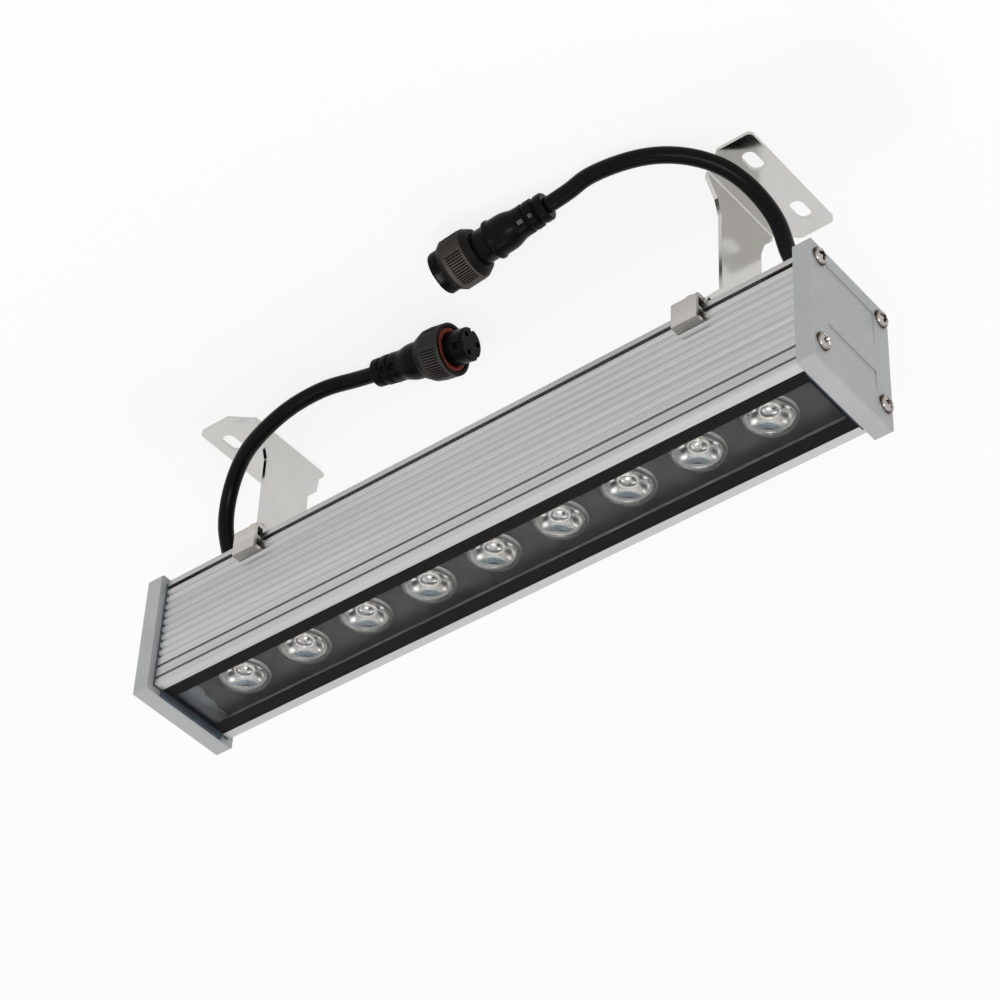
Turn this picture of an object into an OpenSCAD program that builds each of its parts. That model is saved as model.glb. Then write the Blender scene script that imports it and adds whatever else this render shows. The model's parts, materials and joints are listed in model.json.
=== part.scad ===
// Outdoor wall washer light: a finned extrusion with a glass window along its top,
// two end caps, two bent brackets held by clamp clips, and two short cables that
// end in round screw couplings.
// Lengths are in millimetres. X runs along the lamp, Y across it and Z up to the window.
// Z is 0 where the bracket feet and the cables lie. Left is the side of negative X.

/* [Overall] */
// Length over the two end caps
overall_l = 300; // [270:1:420]
// Width of the extrusion across its finned sides
body_w = 41; // [41:0.5:48]
// Height of the extrusion from its underside to its lip
body_h = 49; // [48:0.5:60]
// Height of the underside of the extrusion above the feet
stand_h = 66; // [60:0.5:84]

/* [Extrusion sides] */
// Width of the groove that the clips grip
clip_groove_w = 2; // [1.8:0.1:2.4]
// Depth of the groove that the clips grip
clip_groove_d = 1.6; // [1.4:0.05:1.8]
// Height of the flange below the clip groove
flange_h = 2.4; // [2.2:0.1:2.9]
// Number of V notches on each side
notch_count = 9; // [3:1:9]
// Height of the lowest notch above the underside
notch_start = 6.6; // [6.2:0.1:7.2]
// Distance from one notch to the next
notch_pitch = 3.64; // [2.8:0.02:3.7]
// Width of a notch at the surface
notch_w = 2.4; // [1.6:0.1:2.6]
// Depth of a notch
notch_d = 1.1; // [0.6:0.05:1.3]
// Width of the two fine grooves under the lip
line_w = 1.2; // [0.8:0.1:1.5]
// Depth of the two fine grooves under the lip
line_d = 0.8; // [0.5:0.05:0.85]
// Drop of the lower fine groove below the lip
line_low = 8.1; // [8:0.1:9]
// Drop of the upper fine groove below the lip
line_high = 2.9; // [2.2:0.1:3.4]
// Width of the lip beside the window
lip_w = 4.2; // [3.8:0.1:4.6]
// Bevel along the outer edge of the lip
lip_bevel = 0.6; // [0.3:0.1:1]

/* [Extrusion inside] */
// Drop of the glass seat below the lip
seat_drop = 4.1; // [3.95:0.05:4.8]
// Width of the glass seat
seat_w = 1.7; // [1.2:0.1:2.2]
// Thickness of the glass seat
seat_t = 1.2; // [0.8:0.1:1.6]
// Distance from the side of the extrusion to the lamp channel
channel_wall = 4.6; // [4.2:0.1:5.3]
// Drop of the channel floor below the lip
channel_drop = 18.1; // [16:0.1:20]
// Thickness of the web between lamp channel and lower chamber
web_t = 2; // [1.6:0.1:2.6]
// Width of the ledge that carries the lens plate
ledge_w = 0.7; // [0.5:0.05:1]
// Thickness of the ledge that carries the lens plate
ledge_t = 1; // [0.8:0.1:1.4]
// Distance from the side of the extrusion to the lower chamber
chamber_wall = 3.2; // [3:0.1:4]
// Thickness of the floor under the lower chamber
floor_t = 2.2; // [1.8:0.1:2.6]
// Width and height of the thick corners around the lower screw ports
corner_w = 2; // [1.8:0.1:2.4]
// Height at which the thick corners start to thin out
corner_h = 4.6; // [4.4:0.1:5.4]
// Distance from the side of the extrusion to the middle of the screw ports
port_inset = 2.3; // [2.2:0.05:2.4]
// Height of the lower screw ports above the underside
port_low = 3.3; // [3.1:0.05:3.5]
// Drop of the upper screw ports below the lip
port_high = 6.5; // [6.3:0.05:6.6]
// Height of the two rails on the chamber floor
rail_h = 3; // [2:0.1:4]
// Width of a rail
rail_w = 2; // [1.5:0.1:3]
// Distance from the wall of the lower chamber to the middle of a rail
rail_inset = 3.6; // [3.4:0.1:4.4]

/* [End caps] */
// Thickness of an end cap
cap_t = 7.2; // [5:0.1:9]
// Amount by which a cap stands out around the extrusion
cap_proud = 2.5; // [1.5:0.1:3.5]
// Corner radius of a cap
cap_r = 1.2; // [0.9:0.1:3]
// Rounding along the outer edges of a cap
cap_edge = 0.5; // [0.3:0.1:0.8]
// Thickness of the gasket behind a cap
gasket_t = 1.2; // [0.8:0.1:2]
// Distance from the side of a cap to its sunk panels
panel_inset = 9; // [8:0.5:11]
// Depth of the sunk panels at their sharp end
panel_d = 0.5; // [0.2:0.1:0.8]
// Height of the lower panel
panel_low_h = 17; // [12:0.5:18]
// Height of the lower panel above the underside
panel_low_z = 3.5; // [2:0.5:5]
// Height of the upper panel
panel_high_h = 12.6; // [10:0.2:14]
// Height of the upper panel above the underside
panel_high_z = 30.7; // [28:0.1:32]
// Corner cut of the upper panel
panel_cut = 5; // [3:0.2:7]

/* [Cap screws] */
// Radius of the screw thread
screw_r = 1.5; // [1.35:0.05:1.55]
// Length of a screw under its head
screw_l = 20; // [14:0.5:26]
// Radius of a screw head
head_r = 3.4; // [2.8:0.1:3.6]
// Height of a screw head
head_h = 2.2; // [1.8:0.1:2.6]
// Radius of the sphere that domes the head
head_dome_r = 4.5; // [4.2:0.1:6]
// Span of the cross recess in a head
cross_l = 3.4; // [2.6:0.1:4]
// Width of one slot of the cross recess
cross_w = 0.8; // [0.6:0.05:1]
// Depth of the cross recess
cross_d = 1.2; // [0.8:0.1:1.4]

/* [Window] */
// Thickness of the cover glass
glass_t = 3; // [2:0.1:3.1]
// Thickness of the bedding seal under the glass
seal_t = 0.6; // [0.4:0.05:0.8]
// Thickness of the black border band
border_t = 0.3; // [0.2:0.05:0.4]
// Width of the black border along the long sides
border_side = 5.4; // [4:0.1:7]
// Width of the black border at the ends
border_end = 1.6; // [1:0.1:3]

/* [Lamps] */
// Number of lamps in the row
lamp_count = 9; // [4:1:9]
// Distance from the end of the extrusion to the outermost lamp
lamp_margin = 24.8; // [18:0.2:34]
// Radius of the bright face of a lens
lens_r = 9.1; // [8:0.1:9.6]
// Radius of the flange of a lens
lens_flange_r = 10.65; // [10.2:0.05:11.5]
// Thickness of the flange of a lens
lens_flange_t = 0.7; // [0.5:0.1:1]
// Radius of a lens at its foot
lens_foot_r = 5.6; // [4.5:0.1:7]
// Radius of the dome in the middle of a lens
lens_dome_r = 4.4; // [3:0.1:5.5]
// Radius of the pocket in the foot of a lens
pocket_r = 2.8; // [2.6:0.1:3.4]
// Height of the pocket in the foot of a lens
pocket_h = 3; // [2.6:0.1:4]
// Sinking of the bright face at the foot of the dome
dish_d = 1.1; // [0.4:0.1:1.6]
// Thickness of the lens plate
plate_t = 1.5; // [1:0.1:2]
// Drop of the top of the lens plate below the lip
plate_drop = 7; // [6.4:0.1:7.6]
// Distance from the end of the extrusion to the end of the lens plate
plate_inset = 3.6; // [2:0.1:6]
// Distance from the wall of the lamp channel to the lamp board
board_inset = 3.9; // [2:0.1:6]
// Thickness of the lamp board
board_t = 1.6; // [1:0.1:2]
// Side of a square lamp emitter
emitter_w = 3.5; // [2.8:0.1:3.6]
// Thickness of the base of a lamp emitter
emitter_t = 0.9; // [0.5:0.1:1.1]
// Radius of the dome on a lamp emitter
emitter_dome_r = 1.3; // [0.9:0.1:1.5]

/* [Driver] */
// Length of the driver board
driver_l = 200; // [186:1:210]
// Distance from the wall of the lower chamber to the driver board
driver_inset = 2.8; // [2.2:0.1:3.2]
// Distance from the edge of the driver board to the terminal blocks
block_inset = 2.5; // [1:0.1:5]
// Thickness of the driver board
driver_t = 1.6; // [1:0.1:2]
// Side of a square coil and length of a terminal block
coil_w = 12; // [8:0.5:14]
// Height of the coil and of the terminal block
coil_h = 7; // [4:0.5:12]
// Radius of a round capacitor
capacitor_r = 4; // [3:0.2:5]
// Height of a round capacitor
capacitor_h = 11; // [6:0.5:14]
// Distance between the parts along the board
parts_pitch = 28; // [24:1:31]

/* [Brackets] */
// Thickness of the bracket sheet
sheet_t = 1.5; // [1.2:0.1:2]
// Inner radius of the bends
bend_r = 0.6; // [0.4:0.1:1]
// Distance from the end of the lamp to the outer face of a leg
leg_inset = 43; // [38:0.5:60]
// Width of a leg at its narrow part
leg_w = 24; // [18:0.5:28]
// Width of a leg at its lower bend
leg_foot_w = 39; // [34:0.5:44]
// Height over which a leg widens towards its upper bend
flare_top_h = 11; // [8:0.5:14]
// Depth of the upper bend zone, which keeps its full width
flare_top_z = 2.5; // [2.2:0.1:4]
// Height over which a leg widens towards the foot
flare_foot_h = 13; // [8:0.5:16]
// Height of the lower bend zone, which keeps its full width
flare_foot_z = 3.5; // [2.6:0.1:5]
// Length of a foot from the leg's outer face
foot_l = 22.5; // [20:0.5:30]
// Width of a foot
foot_w = 52; // [48:0.5:60]
// Length of the straight outer part of a foot
foot_straight_l = 14.5; // [14:0.5:17]
// Corner radius of a foot
foot_r = 2; // [1:0.1:3]
// Width of a slot in a foot
slot_w = 5.5; // [4.3:0.1:6.5]
// Length of a slot in a foot
slot_l = 9.6; // [8:0.1:12]
// Distance between the two slots of a foot
slot_pitch = 29; // [26:0.5:32]
// Distance from the outer edge of a foot to the middle of its slots
slot_inset = 7; // [6:0.1:8]
// Length of the base plate from the leg's outer face
base_l = 34; // [28:0.5:44]
// Distance from the side of the extrusion to the tongue of the base plate
tongue_inset = 2.3; // [1.5:0.1:5]
// Corner radius of the tongue
tongue_r = 3; // [1:0.1:5]
// Clearance between the housing and what slides along it
slide_gap = 0.05; // [0.02:0.01:0.1]

/* [Clips] */
// Length of a clip along the lamp
clip_l = 10.5; // [8:0.5:12]
// Distance of a clip's outer face from the side of the extrusion
clip_out = 4.1; // [3.8:0.1:4.6]
// Thickness of the upright wall of a clip
clip_wall_t = 1.4; // [1.2:0.1:1.8]
// Thickness of the lower arm of a clip
clip_arm_t = 2; // [1.6:0.1:2.6]
// Distance from the side of the extrusion to the inner end of the lower arm
clip_arm_reach = 7.1; // [6.9:0.1:7.7]
// Height of the top of a clip above the underside of the extrusion
clip_top = 8.8; // [8.6:0.1:9.6]
// Thickness of the upper arm of a clip
clip_lip_t = 1.6; // [1.2:0.1:2]
// Thickness of the tooth of a clip
tooth_t = 1.5; // [1.2:0.1:1.6]
// Distance from the floor of the groove to the tip of the tooth
tooth_gap = 0.3; // [0.2:0.05:0.5]
// Outer corner radius of a clip
clip_r = 2.5; // [1.5:0.1:3]
// Clearance between a clip and the bend beside it
clip_gap = 0.1; // [0.05:0.05:1]

/* [Clip bolts] */
// Distance from the side of the extrusion to a clip bolt
bolt_inset = 2.7; // [2.5:0.1:2.9]
// Radius of a clip bolt
bolt_r = 2; // [1.5:0.1:2]
// Radius of the head of a clip bolt
bolt_head_r = 3.6; // [3:0.1:3.8]
// Height of the head of a clip bolt
bolt_head_h = 2.6; // [2:0.1:3]
// Radius of the sphere that domes a clip bolt head
bolt_dome_r = 5; // [4.6:0.1:6]
// Outer radius of a flat washer
washer_r = 4.1; // [3.8:0.1:4.3]
// Thickness of a flat washer
washer_t = 0.8; // [0.5:0.1:1]
// Outer radius of a spring washer
spring_r = 3.5; // [3.2:0.1:3.8]
// Thickness of a spring washer
spring_t = 1; // [0.8:0.1:1.4]
// Width of the split in a spring washer
spring_split = 0.6; // [0.3:0.1:1]

/* [Cable glands] */
// Distance from the end of the lamp to a cable gland
gland_inset = 20; // [19:0.5:24]
// Width across the flats of the gland flange
gland_flats = 14; // [13:0.5:15]
// Height of the gland flange
gland_flange_h = 3; // [2:0.1:4]
// Height of the gland cap under the flange
gland_cap_h = 6; // [5:0.1:7]
// Radius of the gland cap at the flange
gland_cap_r = 6.2; // [5.6:0.1:6.5]
// Radius of the gland cap at the cable
gland_mouth_r = 4.6; // [4:0.1:5.2]
// Radius of the threaded neck of the gland
neck_r = 5.9; // [5:0.1:6]
// Length of the threaded neck of the gland
neck_l = 7; // [6:0.1:8]
// Width across the flats of the locknut
locknut_flats = 17; // [15:0.5:18]
// Thickness of the locknut
locknut_t = 3; // [2:0.1:3.5]

/* [Cables] */
// Diameter of a cable
cable_d = 6.2; // [5:0.1:6.4]
// Length of cable that leaves a gland or a plug straight
cable_lead = 9; // [8:0.5:12]
// Length of cable that runs straight into a plug
plug_lead = 12; // [10:0.5:14]
// Clearance between a plug and the ground
ground_gap = 0.02; // [0.01:0.01:0.1]

/* [Plug bodies] */
// Radius of the rear ring of a boot
boot_ring_r = 5.4; // [5:0.1:5.5]
// Length of the rear ring of a boot
boot_ring_l = 3.6; // [2.5:0.1:4.5]
// Rounding at the rear of a boot
boot_round = 0.9; // [0.4:0.1:1.2]
// Radius of a boot behind its shell
boot_r = 5.8; // [5.5:0.1:6]
// Depth of the groove between ring and boot
boot_groove_d = 0.4; // [0.2:0.1:0.6]
// Length of a boot
boot_l = 12.5; // [10:0.1:14]
// Radius of a shell
shell_r = 7.1; // [6.9:0.05:7.3]
// Length of the cone at the rear of a shell
shell_cone_l = 4; // [2:0.1:5]

/* [Plug one] */
// Distance from the middle plane to the rear of plug one
plug_one_y = 43.6; // [42:0.2:46]
// Distance along the lamp from the gland to the rear of plug one
plug_one_x = 75.5; // [74:0.5:84]
// Upward tilt of plug one in degrees
plug_one_tilt = 7.5; // [6:0.1:7.5]
// Turn of plug one in plan in degrees
plug_one_yaw = -1; // [-6:0.5:4]
// Length of plug one
plug_one_l = 48; // [47:0.2:52]
// Distance from the rear of plug one to its ridge
ridge_s = 22.6; // [20:0.1:23]
// Width of the ridge on plug one
ridge_w = 2.4; // [1.5:0.1:3]
// Height of the ridge on plug one
ridge_h = 0.55; // [0.3:0.05:0.8]
// Distance from the rear of plug one to its collar
collar_s = 30.2; // [29:0.1:31]
// Length of the knurled collar
collar_l = 13.8; // [12:0.1:14]
// Radius of the knurled collar
collar_r = 10; // [9.8:0.1:11]
// Length of the bevel at the rear of the collar
collar_bevel_l = 2.8; // [2:0.1:3.2]
// Depth of the bevel at the rear of the collar
collar_bevel_d = 1.7; // [1:0.1:2]
// Length of the bevel at the front of the collar
collar_nose_l = 2.2; // [1:0.1:3]
// Depth of the bevel at the front of the collar
collar_nose_d = 1.4; // [0.8:0.1:1.6]
// Radius of the threaded barrel
barrel_r = 8.3; // [8:0.05:8.4]
// Radius of the socket in the barrel
socket_r = 6.6; // [6:0.1:6.9]
// Depth of the socket in the barrel
socket_l = 14; // [10:0.2:15]
// Thickness of the contact insert in the socket
insert_t = 4; // [2:0.2:6]
// Distance between thread crests on the barrel
thread_pitch = 1.1; // [0.8:0.05:1.2]
// Depth of the thread on the barrel
thread_d = 0.4; // [0.2:0.05:0.6]
// Number of thread turns on the barrel
thread_turns = 3; // [1:1:3]
// Width of the key flats on the barrel
key_flat_w = 4; // [2:0.1:4.4]
// Length of the key flats on the barrel
key_flat_l = 3; // [2:0.1:3.6]
// Depth of the key flats on the barrel
key_flat_d = 0.9; // [0.6:0.1:1.1]

/* [Plug two] */
// Distance from the middle plane to the rear of plug two
plug_two_y = 14; // [13:0.2:16]
// Distance along the lamp from the gland to the rear of plug two
plug_two_x = 80.5; // [79:0.5:88]
// Upward tilt of plug two in degrees
plug_two_tilt = 9.5; // [8:0.1:9.5]
// Turn of plug two in plan in degrees
plug_two_yaw = 4; // [-2:0.5:8]
// Distance from the rear of plug two to its neck
neck_s = 22.8; // [21:0.1:24]
// Length of the neck that the coupling nut turns on
neck_run = 3.6; // [3:0.1:4]
// Radius of the neck that the coupling nut turns on
neck_run_r = 6.3; // [5.8:0.1:6.5]
// Running clearance of the coupling nut, radial
nut_run_gap = 0.06; // [0.02:0.01:0.1]
// Clearance at each end of the coupling nut's inner lip
nut_end_gap = 0.2; // [0.1:0.05:0.4]
// Length of the coupling nut
nut_l = 12.8; // [11:0.1:14]
// Radius of the coupling nut
nut_r = 10.2; // [10:0.1:11]
// Length of the bevel at the rear of the nut
nut_bevel_l = 3.3; // [2:0.1:4]
// Depth of the bevel at the rear of the nut
nut_bevel_d = 1.6; // [1:0.1:2]
// Fall of the nut's side from its crown to the bevel
nut_crown = 0.4; // [0.1:0.1:0.6]
// Length over which the nut's side falls to the bevel
nut_crown_l = 3.2; // [2:0.1:5]
// Radius of the bore of the coupling nut
nut_bore_r = 8.75; // [8.6:0.05:9.2]
// Radius of the flange of the keyed insert
flange_r = 8.5; // [8:0.1:8.5]
// Length of the flange of the keyed insert
flange_l = 7.6; // [4:0.1:7.7]
// Radius of the tip of the keyed insert
tip_r = 6.5; // [6:0.1:6.7]
// Length of plug two over its tip
plug_two_l = 43.8; // [42:0.2:46]
// Length of the key notches in the tip
key_l = 4; // [2:0.1:5]
// Width of the key notches in the tip
key_w = 2.2; // [1.5:0.1:3]
// Depth of the key notches in the tip
key_d = 1.3; // [0.8:0.1:1.8]
// Thickness of the sealing ring
ring_t = 1.7; // [1:0.1:2]
// Outer radius of the sealing ring
ring_r = 8.4; // [8:0.1:8.4]

/* [Contacts] */
// Number of contacts
contact_count = 3; // [2:1:5]
// Distance of the contacts from the axis of a plug
contact_y = 4; // [3:0.1:4]
// Radius of a contact pin
pin_r = 0.75; // [0.5:0.05:0.9]
// Length of a contact pin
pin_l = 5; // [4:0.2:8]
// Radius of a contact hole
hole_r = 1.1; // [0.8:0.05:1.2]
// Depth of a contact hole
hole_l = 6; // [4:0.2:8]

/* [Knurling] */
// Number of rib groups around a collar or nut
knurl_groups = 3; // [1:1:3]
// Number of cuts in one group
knurl_cuts = 13; // [6:1:16]
// Angle from one cut to the next in degrees
knurl_step = 6; // [5:0.5:7]
// Width of a cut
knurl_w = 0.55; // [0.3:0.05:0.7]
// Depth of a cut
knurl_d = 0.4; // [0.2:0.05:0.6]

/* [Hidden] */

// Overrun of every cut beyond the face that it leaves
over = 1;
// Fit of a screw in its hole and of a part in its recess
fit_gap = 0.1;
// Inset of a gasket from the outline of the extrusion
gasket_inset = 0.4;
// Fit of the glass between the lips and between the caps
glass_gap = 0.15;
// Fit of a threaded part in its thread
thread_gap = 0.05;
// Length of the collar's rear lip behind the step of the shell
collar_stop_l = 1;
// Radius of the sphere that domes the middle of a lens
lens_dome_sphere_r = 6;
// Width that a leg has gained on each side halfway down its lower widening
flare_toe = 2.2;
// Bevel at the rim of the tip of plug two
tip_bevel = 0.5;
// Turn of the key flats, key notches and rib groups about each plug in degrees
plug_one_flat_turn = 207;
plug_one_rib_turn = 200;
plug_two_rib_turn = 160;
plug_two_key_turn = 8;
// Facets of the swept cables
cable_sides = 10;
cable_rings = 2;
$fn = 96;

body_l = overall_l - 2 * (cap_t + gasket_t);
lip_in = body_w / 2 - lip_w;
channel_w = body_w - 2 * channel_wall;
chamber_w = body_w - 2 * chamber_wall;
port_y = body_w / 2 - port_inset;
rail_y = chamber_w / 2 - rail_inset;
board_w = channel_w - 2 * board_inset;
driver_w = chamber_w - 2 * driver_inset;
cap_w = body_w + 2 * cap_proud;
cap_h = body_h + 2 * cap_proud;
panel_w = cap_w - 2 * panel_inset;
seat_z = body_h - seat_drop;
seat_in = lip_in - seat_w;
web_z = body_h - channel_drop;
plate_top = body_h - plate_drop;
plate_z = plate_top - plate_t;
board_top = web_z + board_t;
lens_h = plate_top - board_top;
lamp_pitch = (body_l - 2 * lamp_margin) / (lamp_count - 1);
port_r = screw_r + fit_gap;
cap_in = body_l / 2 + gasket_t;
cap_out = overall_l / 2;

leg_out = cap_out - leg_inset;
leg_in = leg_out - sheet_t;
leg_top_w = body_w;
tongue_w = body_w - 2 * tongue_inset;
clip_arm_y = body_w / 2 - clip_arm_reach;
bolt_y = body_w / 2 - bolt_inset;
foot_end = leg_out + foot_l;
base_end = leg_out - base_l;
base_top = stand_h - slide_gap;
clip_x = leg_in - bend_r - clip_gap - clip_l / 2;
ear_end = clip_x - clip_l / 2;
arm_top = -slide_gap - sheet_t;
arm_low = arm_top - clip_arm_t;
tooth_z = flange_h + (clip_groove_w - tooth_t) / 2;
washer_low = arm_low - washer_t;
spring_low = washer_low - spring_t;

gland_x = cap_out - gland_inset;
gland_h = gland_flange_h + gland_cap_h;
gland_mouth_z = stand_h - gland_h;

// Fall of the collar's side from its crown to the bevel
collar_crown = 0.2;
collar_crown_l = 1.5;
nut_s = neck_s + nut_end_gap;
// Height of the rear of each plug, so that its knurled rim lies on the ground
plug_one_z = (collar_r - collar_crown) * cos(plug_one_tilt)
    - (collar_s + collar_bevel_l) * sin(plug_one_tilt) + ground_gap;
plug_two_z = (nut_r - nut_crown) * cos(plug_two_tilt)
    - (nut_s + nut_bevel_l) * sin(plug_two_tilt) + ground_gap;
lip_end_s = neck_s + neck_run - nut_end_gap;
nut_end_s = nut_s + nut_l;
flange_s = neck_s + neck_run;
ring_s = flange_s + flange_l;
collar_step_s = collar_s + collar_stop_l;
socket_s = plug_one_l - socket_l;
plug_one_at = [-(gland_x - plug_one_x), -plug_one_y, plug_one_z];
plug_two_at = [gland_x - plug_two_x, -plug_two_y, plug_two_z];
plug_two_turn = 180 - plug_two_yaw;

// Pull points of the cables between gland and plug: distance inward from the gland,
// then Y and Z
cable_left_pull = [
    [4, -1, 37], [4, -4, 25], [9, -15, 12], [15, -26, 7], [26, -36, 4], [39, -43, 4],
    [58, -45, 3]
];
cable_right_pull = [
    [-2, -5, 35], [5, -11, 21], [18, -18, 14], [34, -22, 12], [46, -22, 8], [59, -18, 3]
];

// Colours
bare_metal = [0.74, 0.74, 0.74];
silver_paint = [0.62, 0.63, 0.63];
seal_blue = [0.23, 0.27, 0.31];
clear_glass = [0.75, 0.8, 0.82, 0.35];
band_black = [0.06, 0.06, 0.06];
plate_grey = [0.22, 0.22, 0.22];
lens_clear = [0.8, 0.82, 0.85, 0.5];
board_white = [0.85, 0.86, 0.84];
board_green = [0.12, 0.32, 0.2];
emitter_yellow = [0.85, 0.75, 0.35];
part_black = [0.12, 0.12, 0.12];
sheet_steel = [0.72, 0.71, 0.69];
clip_metal = [0.66, 0.65, 0.62];
bolt_steel = [0.7, 0.69, 0.67];
cable_black = [0.05, 0.05, 0.05];
plug_black = [0.07, 0.07, 0.07];
knurl_grey = [0.24, 0.23, 0.22];
contact_brass = [0.72, 0.58, 0.3];
ring_red = [0.35, 0.09, 0.06];

// Extrudes a YZ outline along X
module run_x(from, to) {
    translate([from, 0, 0])
        rotate([90, 0, 90])
            linear_extrude(height = to - from)
                children();
}

// Extrudes an XZ outline along Y
module run_y(from, to) {
    translate([0, to, 0])
        rotate([90, 0, 0])
            linear_extrude(height = to - from)
                children();
}

// Draws its children and their image across the middle plane
module both_sides() {
    children();
    mirror([0, 1, 0])
        children();
}

// Draws its children and their image in a flat outline
module both_halves() {
    children();
    mirror([1, 0])
        children();
}

module rounded_rect(w, h, r) {
    square([w - 2 * r, h], center = true);
    square([w, h - 2 * r], center = true);
    for (i = [-1, 1])
        for (j = [-1, 1])
            translate([i * (w / 2 - r), j * (h / 2 - r)])
                circle(r = r);
}

// Rectangle from corner to corner
module box_2d(from, to) {
    translate(from)
        square(to - from);
}

// Housing

module side_cuts() {
    box_2d([body_w / 2 - clip_groove_d, flange_h], [body_w / 2 + over, flange_h + clip_groove_w]);
    for (k = [0 : notch_count - 1])
        translate([body_w / 2, notch_start + k * notch_pitch])
            polygon([[-notch_d, 0], [0, -notch_w / 2], [over, -notch_w / 2],
                [over, notch_w / 2], [0, notch_w / 2]]);
    for (drop = [line_low, line_high])
        box_2d([body_w / 2 - line_d, body_h - drop - line_w / 2],
            [body_w / 2 + over, body_h - drop + line_w / 2]);
    translate([body_w / 2, body_h])
        polygon([[-lip_bevel, 0], [0, -lip_bevel], [over, -lip_bevel], [over, over],
            [-lip_bevel, over]]);
    for (z = [port_low, body_h - port_high])
        translate([port_y, z])
            circle(r = port_r);
}

// Hollow space of the lower chamber: thick corners around the screw ports, two rails
module chamber_outline() {
    half = chamber_w / 2;
    top = web_z - web_t;
    difference() {
        polygon([[-half + corner_w, floor_t], [half - corner_w, floor_t],
            [half - corner_w, corner_h], [half, corner_h + corner_w], [half, top],
            [-half, top], [-half, corner_h + corner_w], [-half + corner_w, corner_h]]);
        for (side = [-1, 1])
            box_2d([side * rail_y - rail_w / 2, 0],
                [side * rail_y + rail_w / 2, floor_t + rail_h]);
    }
}

module body_section() {
    difference() {
        box_2d([-body_w / 2, 0], [body_w / 2, body_h]);
        box_2d([-lip_in, seat_z], [lip_in, body_h + over]);
        box_2d([-seat_in, plate_z], [seat_in, body_h]);
        box_2d([-channel_w / 2, plate_z], [channel_w / 2, seat_z - seat_t]);
        box_2d([-channel_w / 2 + ledge_w, web_z], [channel_w / 2 - ledge_w, plate_top]);
        box_2d([-channel_w / 2, web_z], [channel_w / 2, plate_z - ledge_t]);
        chamber_outline();
        both_halves()
            side_cuts();
    }
}

module housing() {
    color(bare_metal)
        difference() {
            translate([0, 0, stand_h])
                run_x(-body_l / 2, body_l / 2)
                    body_section();
            for (side = [-1, 1])
                translate([side * gland_x, 0, stand_h - over])
                    cylinder(r = neck_r + thread_gap, h = floor_t + 2 * over);
        }
}

// End caps, drawn on the right

// Places its children at the four screws of an end
module at_cap_screws() {
    for (side = [-1, 1])
        for (z = [port_low, body_h - port_high])
            translate([0, side * port_y, stand_h + z])
                rotate([0, 90, 0])
                    children();
}

// Plan or side outline of a cap with its two outer edges rounded
module cap_edge_outline(from, to) {
    box_2d([cap_in, from], [cap_out - cap_edge, to]);
    box_2d([cap_in, from + cap_edge], [cap_out, to - cap_edge]);
    for (v = [from + cap_edge, to - cap_edge])
        translate([cap_out - cap_edge, v])
            circle(r = cap_edge);
}

// Sunk panel whose floor rises from a sharp end to the face of the cap
module panel_cut_low() {
    run_y(-panel_w / 2, panel_w / 2)
        polygon([[cap_out - panel_d, panel_low_z], [cap_out + over, panel_low_z],
            [cap_out + over, panel_low_z + panel_low_h],
            [cap_out, panel_low_z + panel_low_h]]);
}

module panel_cut_high() {
    intersection() {
        run_y(-panel_w / 2, panel_w / 2)
            polygon([[cap_out - panel_d, panel_high_z], [cap_out + over, panel_high_z],
                [cap_out + over, panel_high_z + panel_high_h],
                [cap_out, panel_high_z + panel_high_h]]);
        run_x(cap_out - over, cap_out + over)
            translate([0, panel_high_z])
                polygon([[-panel_w / 2, -over], [panel_w / 2, -over],
                    [panel_w / 2, panel_high_h - panel_cut],
                    [panel_w / 2 - panel_cut, panel_high_h + over],
                    [-panel_w / 2 + panel_cut, panel_high_h + over],
                    [-panel_w / 2, panel_high_h - panel_cut]]);
    }
}

module end_cap() {
    low = stand_h - cap_proud;
    color(silver_paint)
        difference() {
            intersection() {
                run_x(cap_in, cap_out)
                    translate([0, stand_h + body_h / 2])
                        rounded_rect(cap_w, cap_h, cap_r);
                run_y(-cap_w / 2, cap_w / 2)
                    cap_edge_outline(low, low + cap_h);
                translate([0, 0, low])
                    linear_extrude(height = cap_h)
                        cap_edge_outline(-cap_w / 2, cap_w / 2);
            }
            translate([0, 0, stand_h]) {
                panel_cut_low();
                panel_cut_high();
            }
            at_cap_screws()
                translate([0, 0, cap_in - over])
                    cylinder(r = port_r, h = cap_t + 2 * over);
        }
}

module cap_gasket() {
    color(seal_blue)
        difference() {
            run_x(body_l / 2, cap_in)
                translate([0, stand_h + body_h / 2])
                    square([body_w - 2 * gasket_inset, body_h - 2 * gasket_inset],
                        center = true);
            at_cap_screws()
                translate([0, 0, body_l / 2 - over])
                    cylinder(r = port_r, h = gasket_t + 2 * over);
        }
}

// Domed head with a cross recess: its underside is at 0 and it points up
module pan_head(r, h, dome_r) {
    difference() {
        intersection() {
            cylinder(r = r, h = h);
            translate([0, 0, h - dome_r])
                sphere(r = dome_r);
        }
        for (turn = [0, 90])
            rotate([0, 0, turn])
                translate([-cross_l / 2, -cross_w / 2, h - cross_d])
                    cube([cross_l, cross_w, cross_d + over]);
    }
}

module cap_screws() {
    color(bolt_steel)
        at_cap_screws()
            translate([0, 0, cap_out]) {
                pan_head(head_r, head_h, head_dome_r);
                translate([0, 0, -screw_l])
                    cylinder(r = screw_r, h = screw_l);
            }
}

// Window

module cover_glass() {
    half = lip_in - glass_gap;
    color(clear_glass)
        translate([0, 0, stand_h])
            run_x(-body_l / 2 + glass_gap, body_l / 2 - glass_gap)
                box_2d([-half, seat_z + seal_t], [half, seat_z + seal_t + glass_t]);
}

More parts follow.
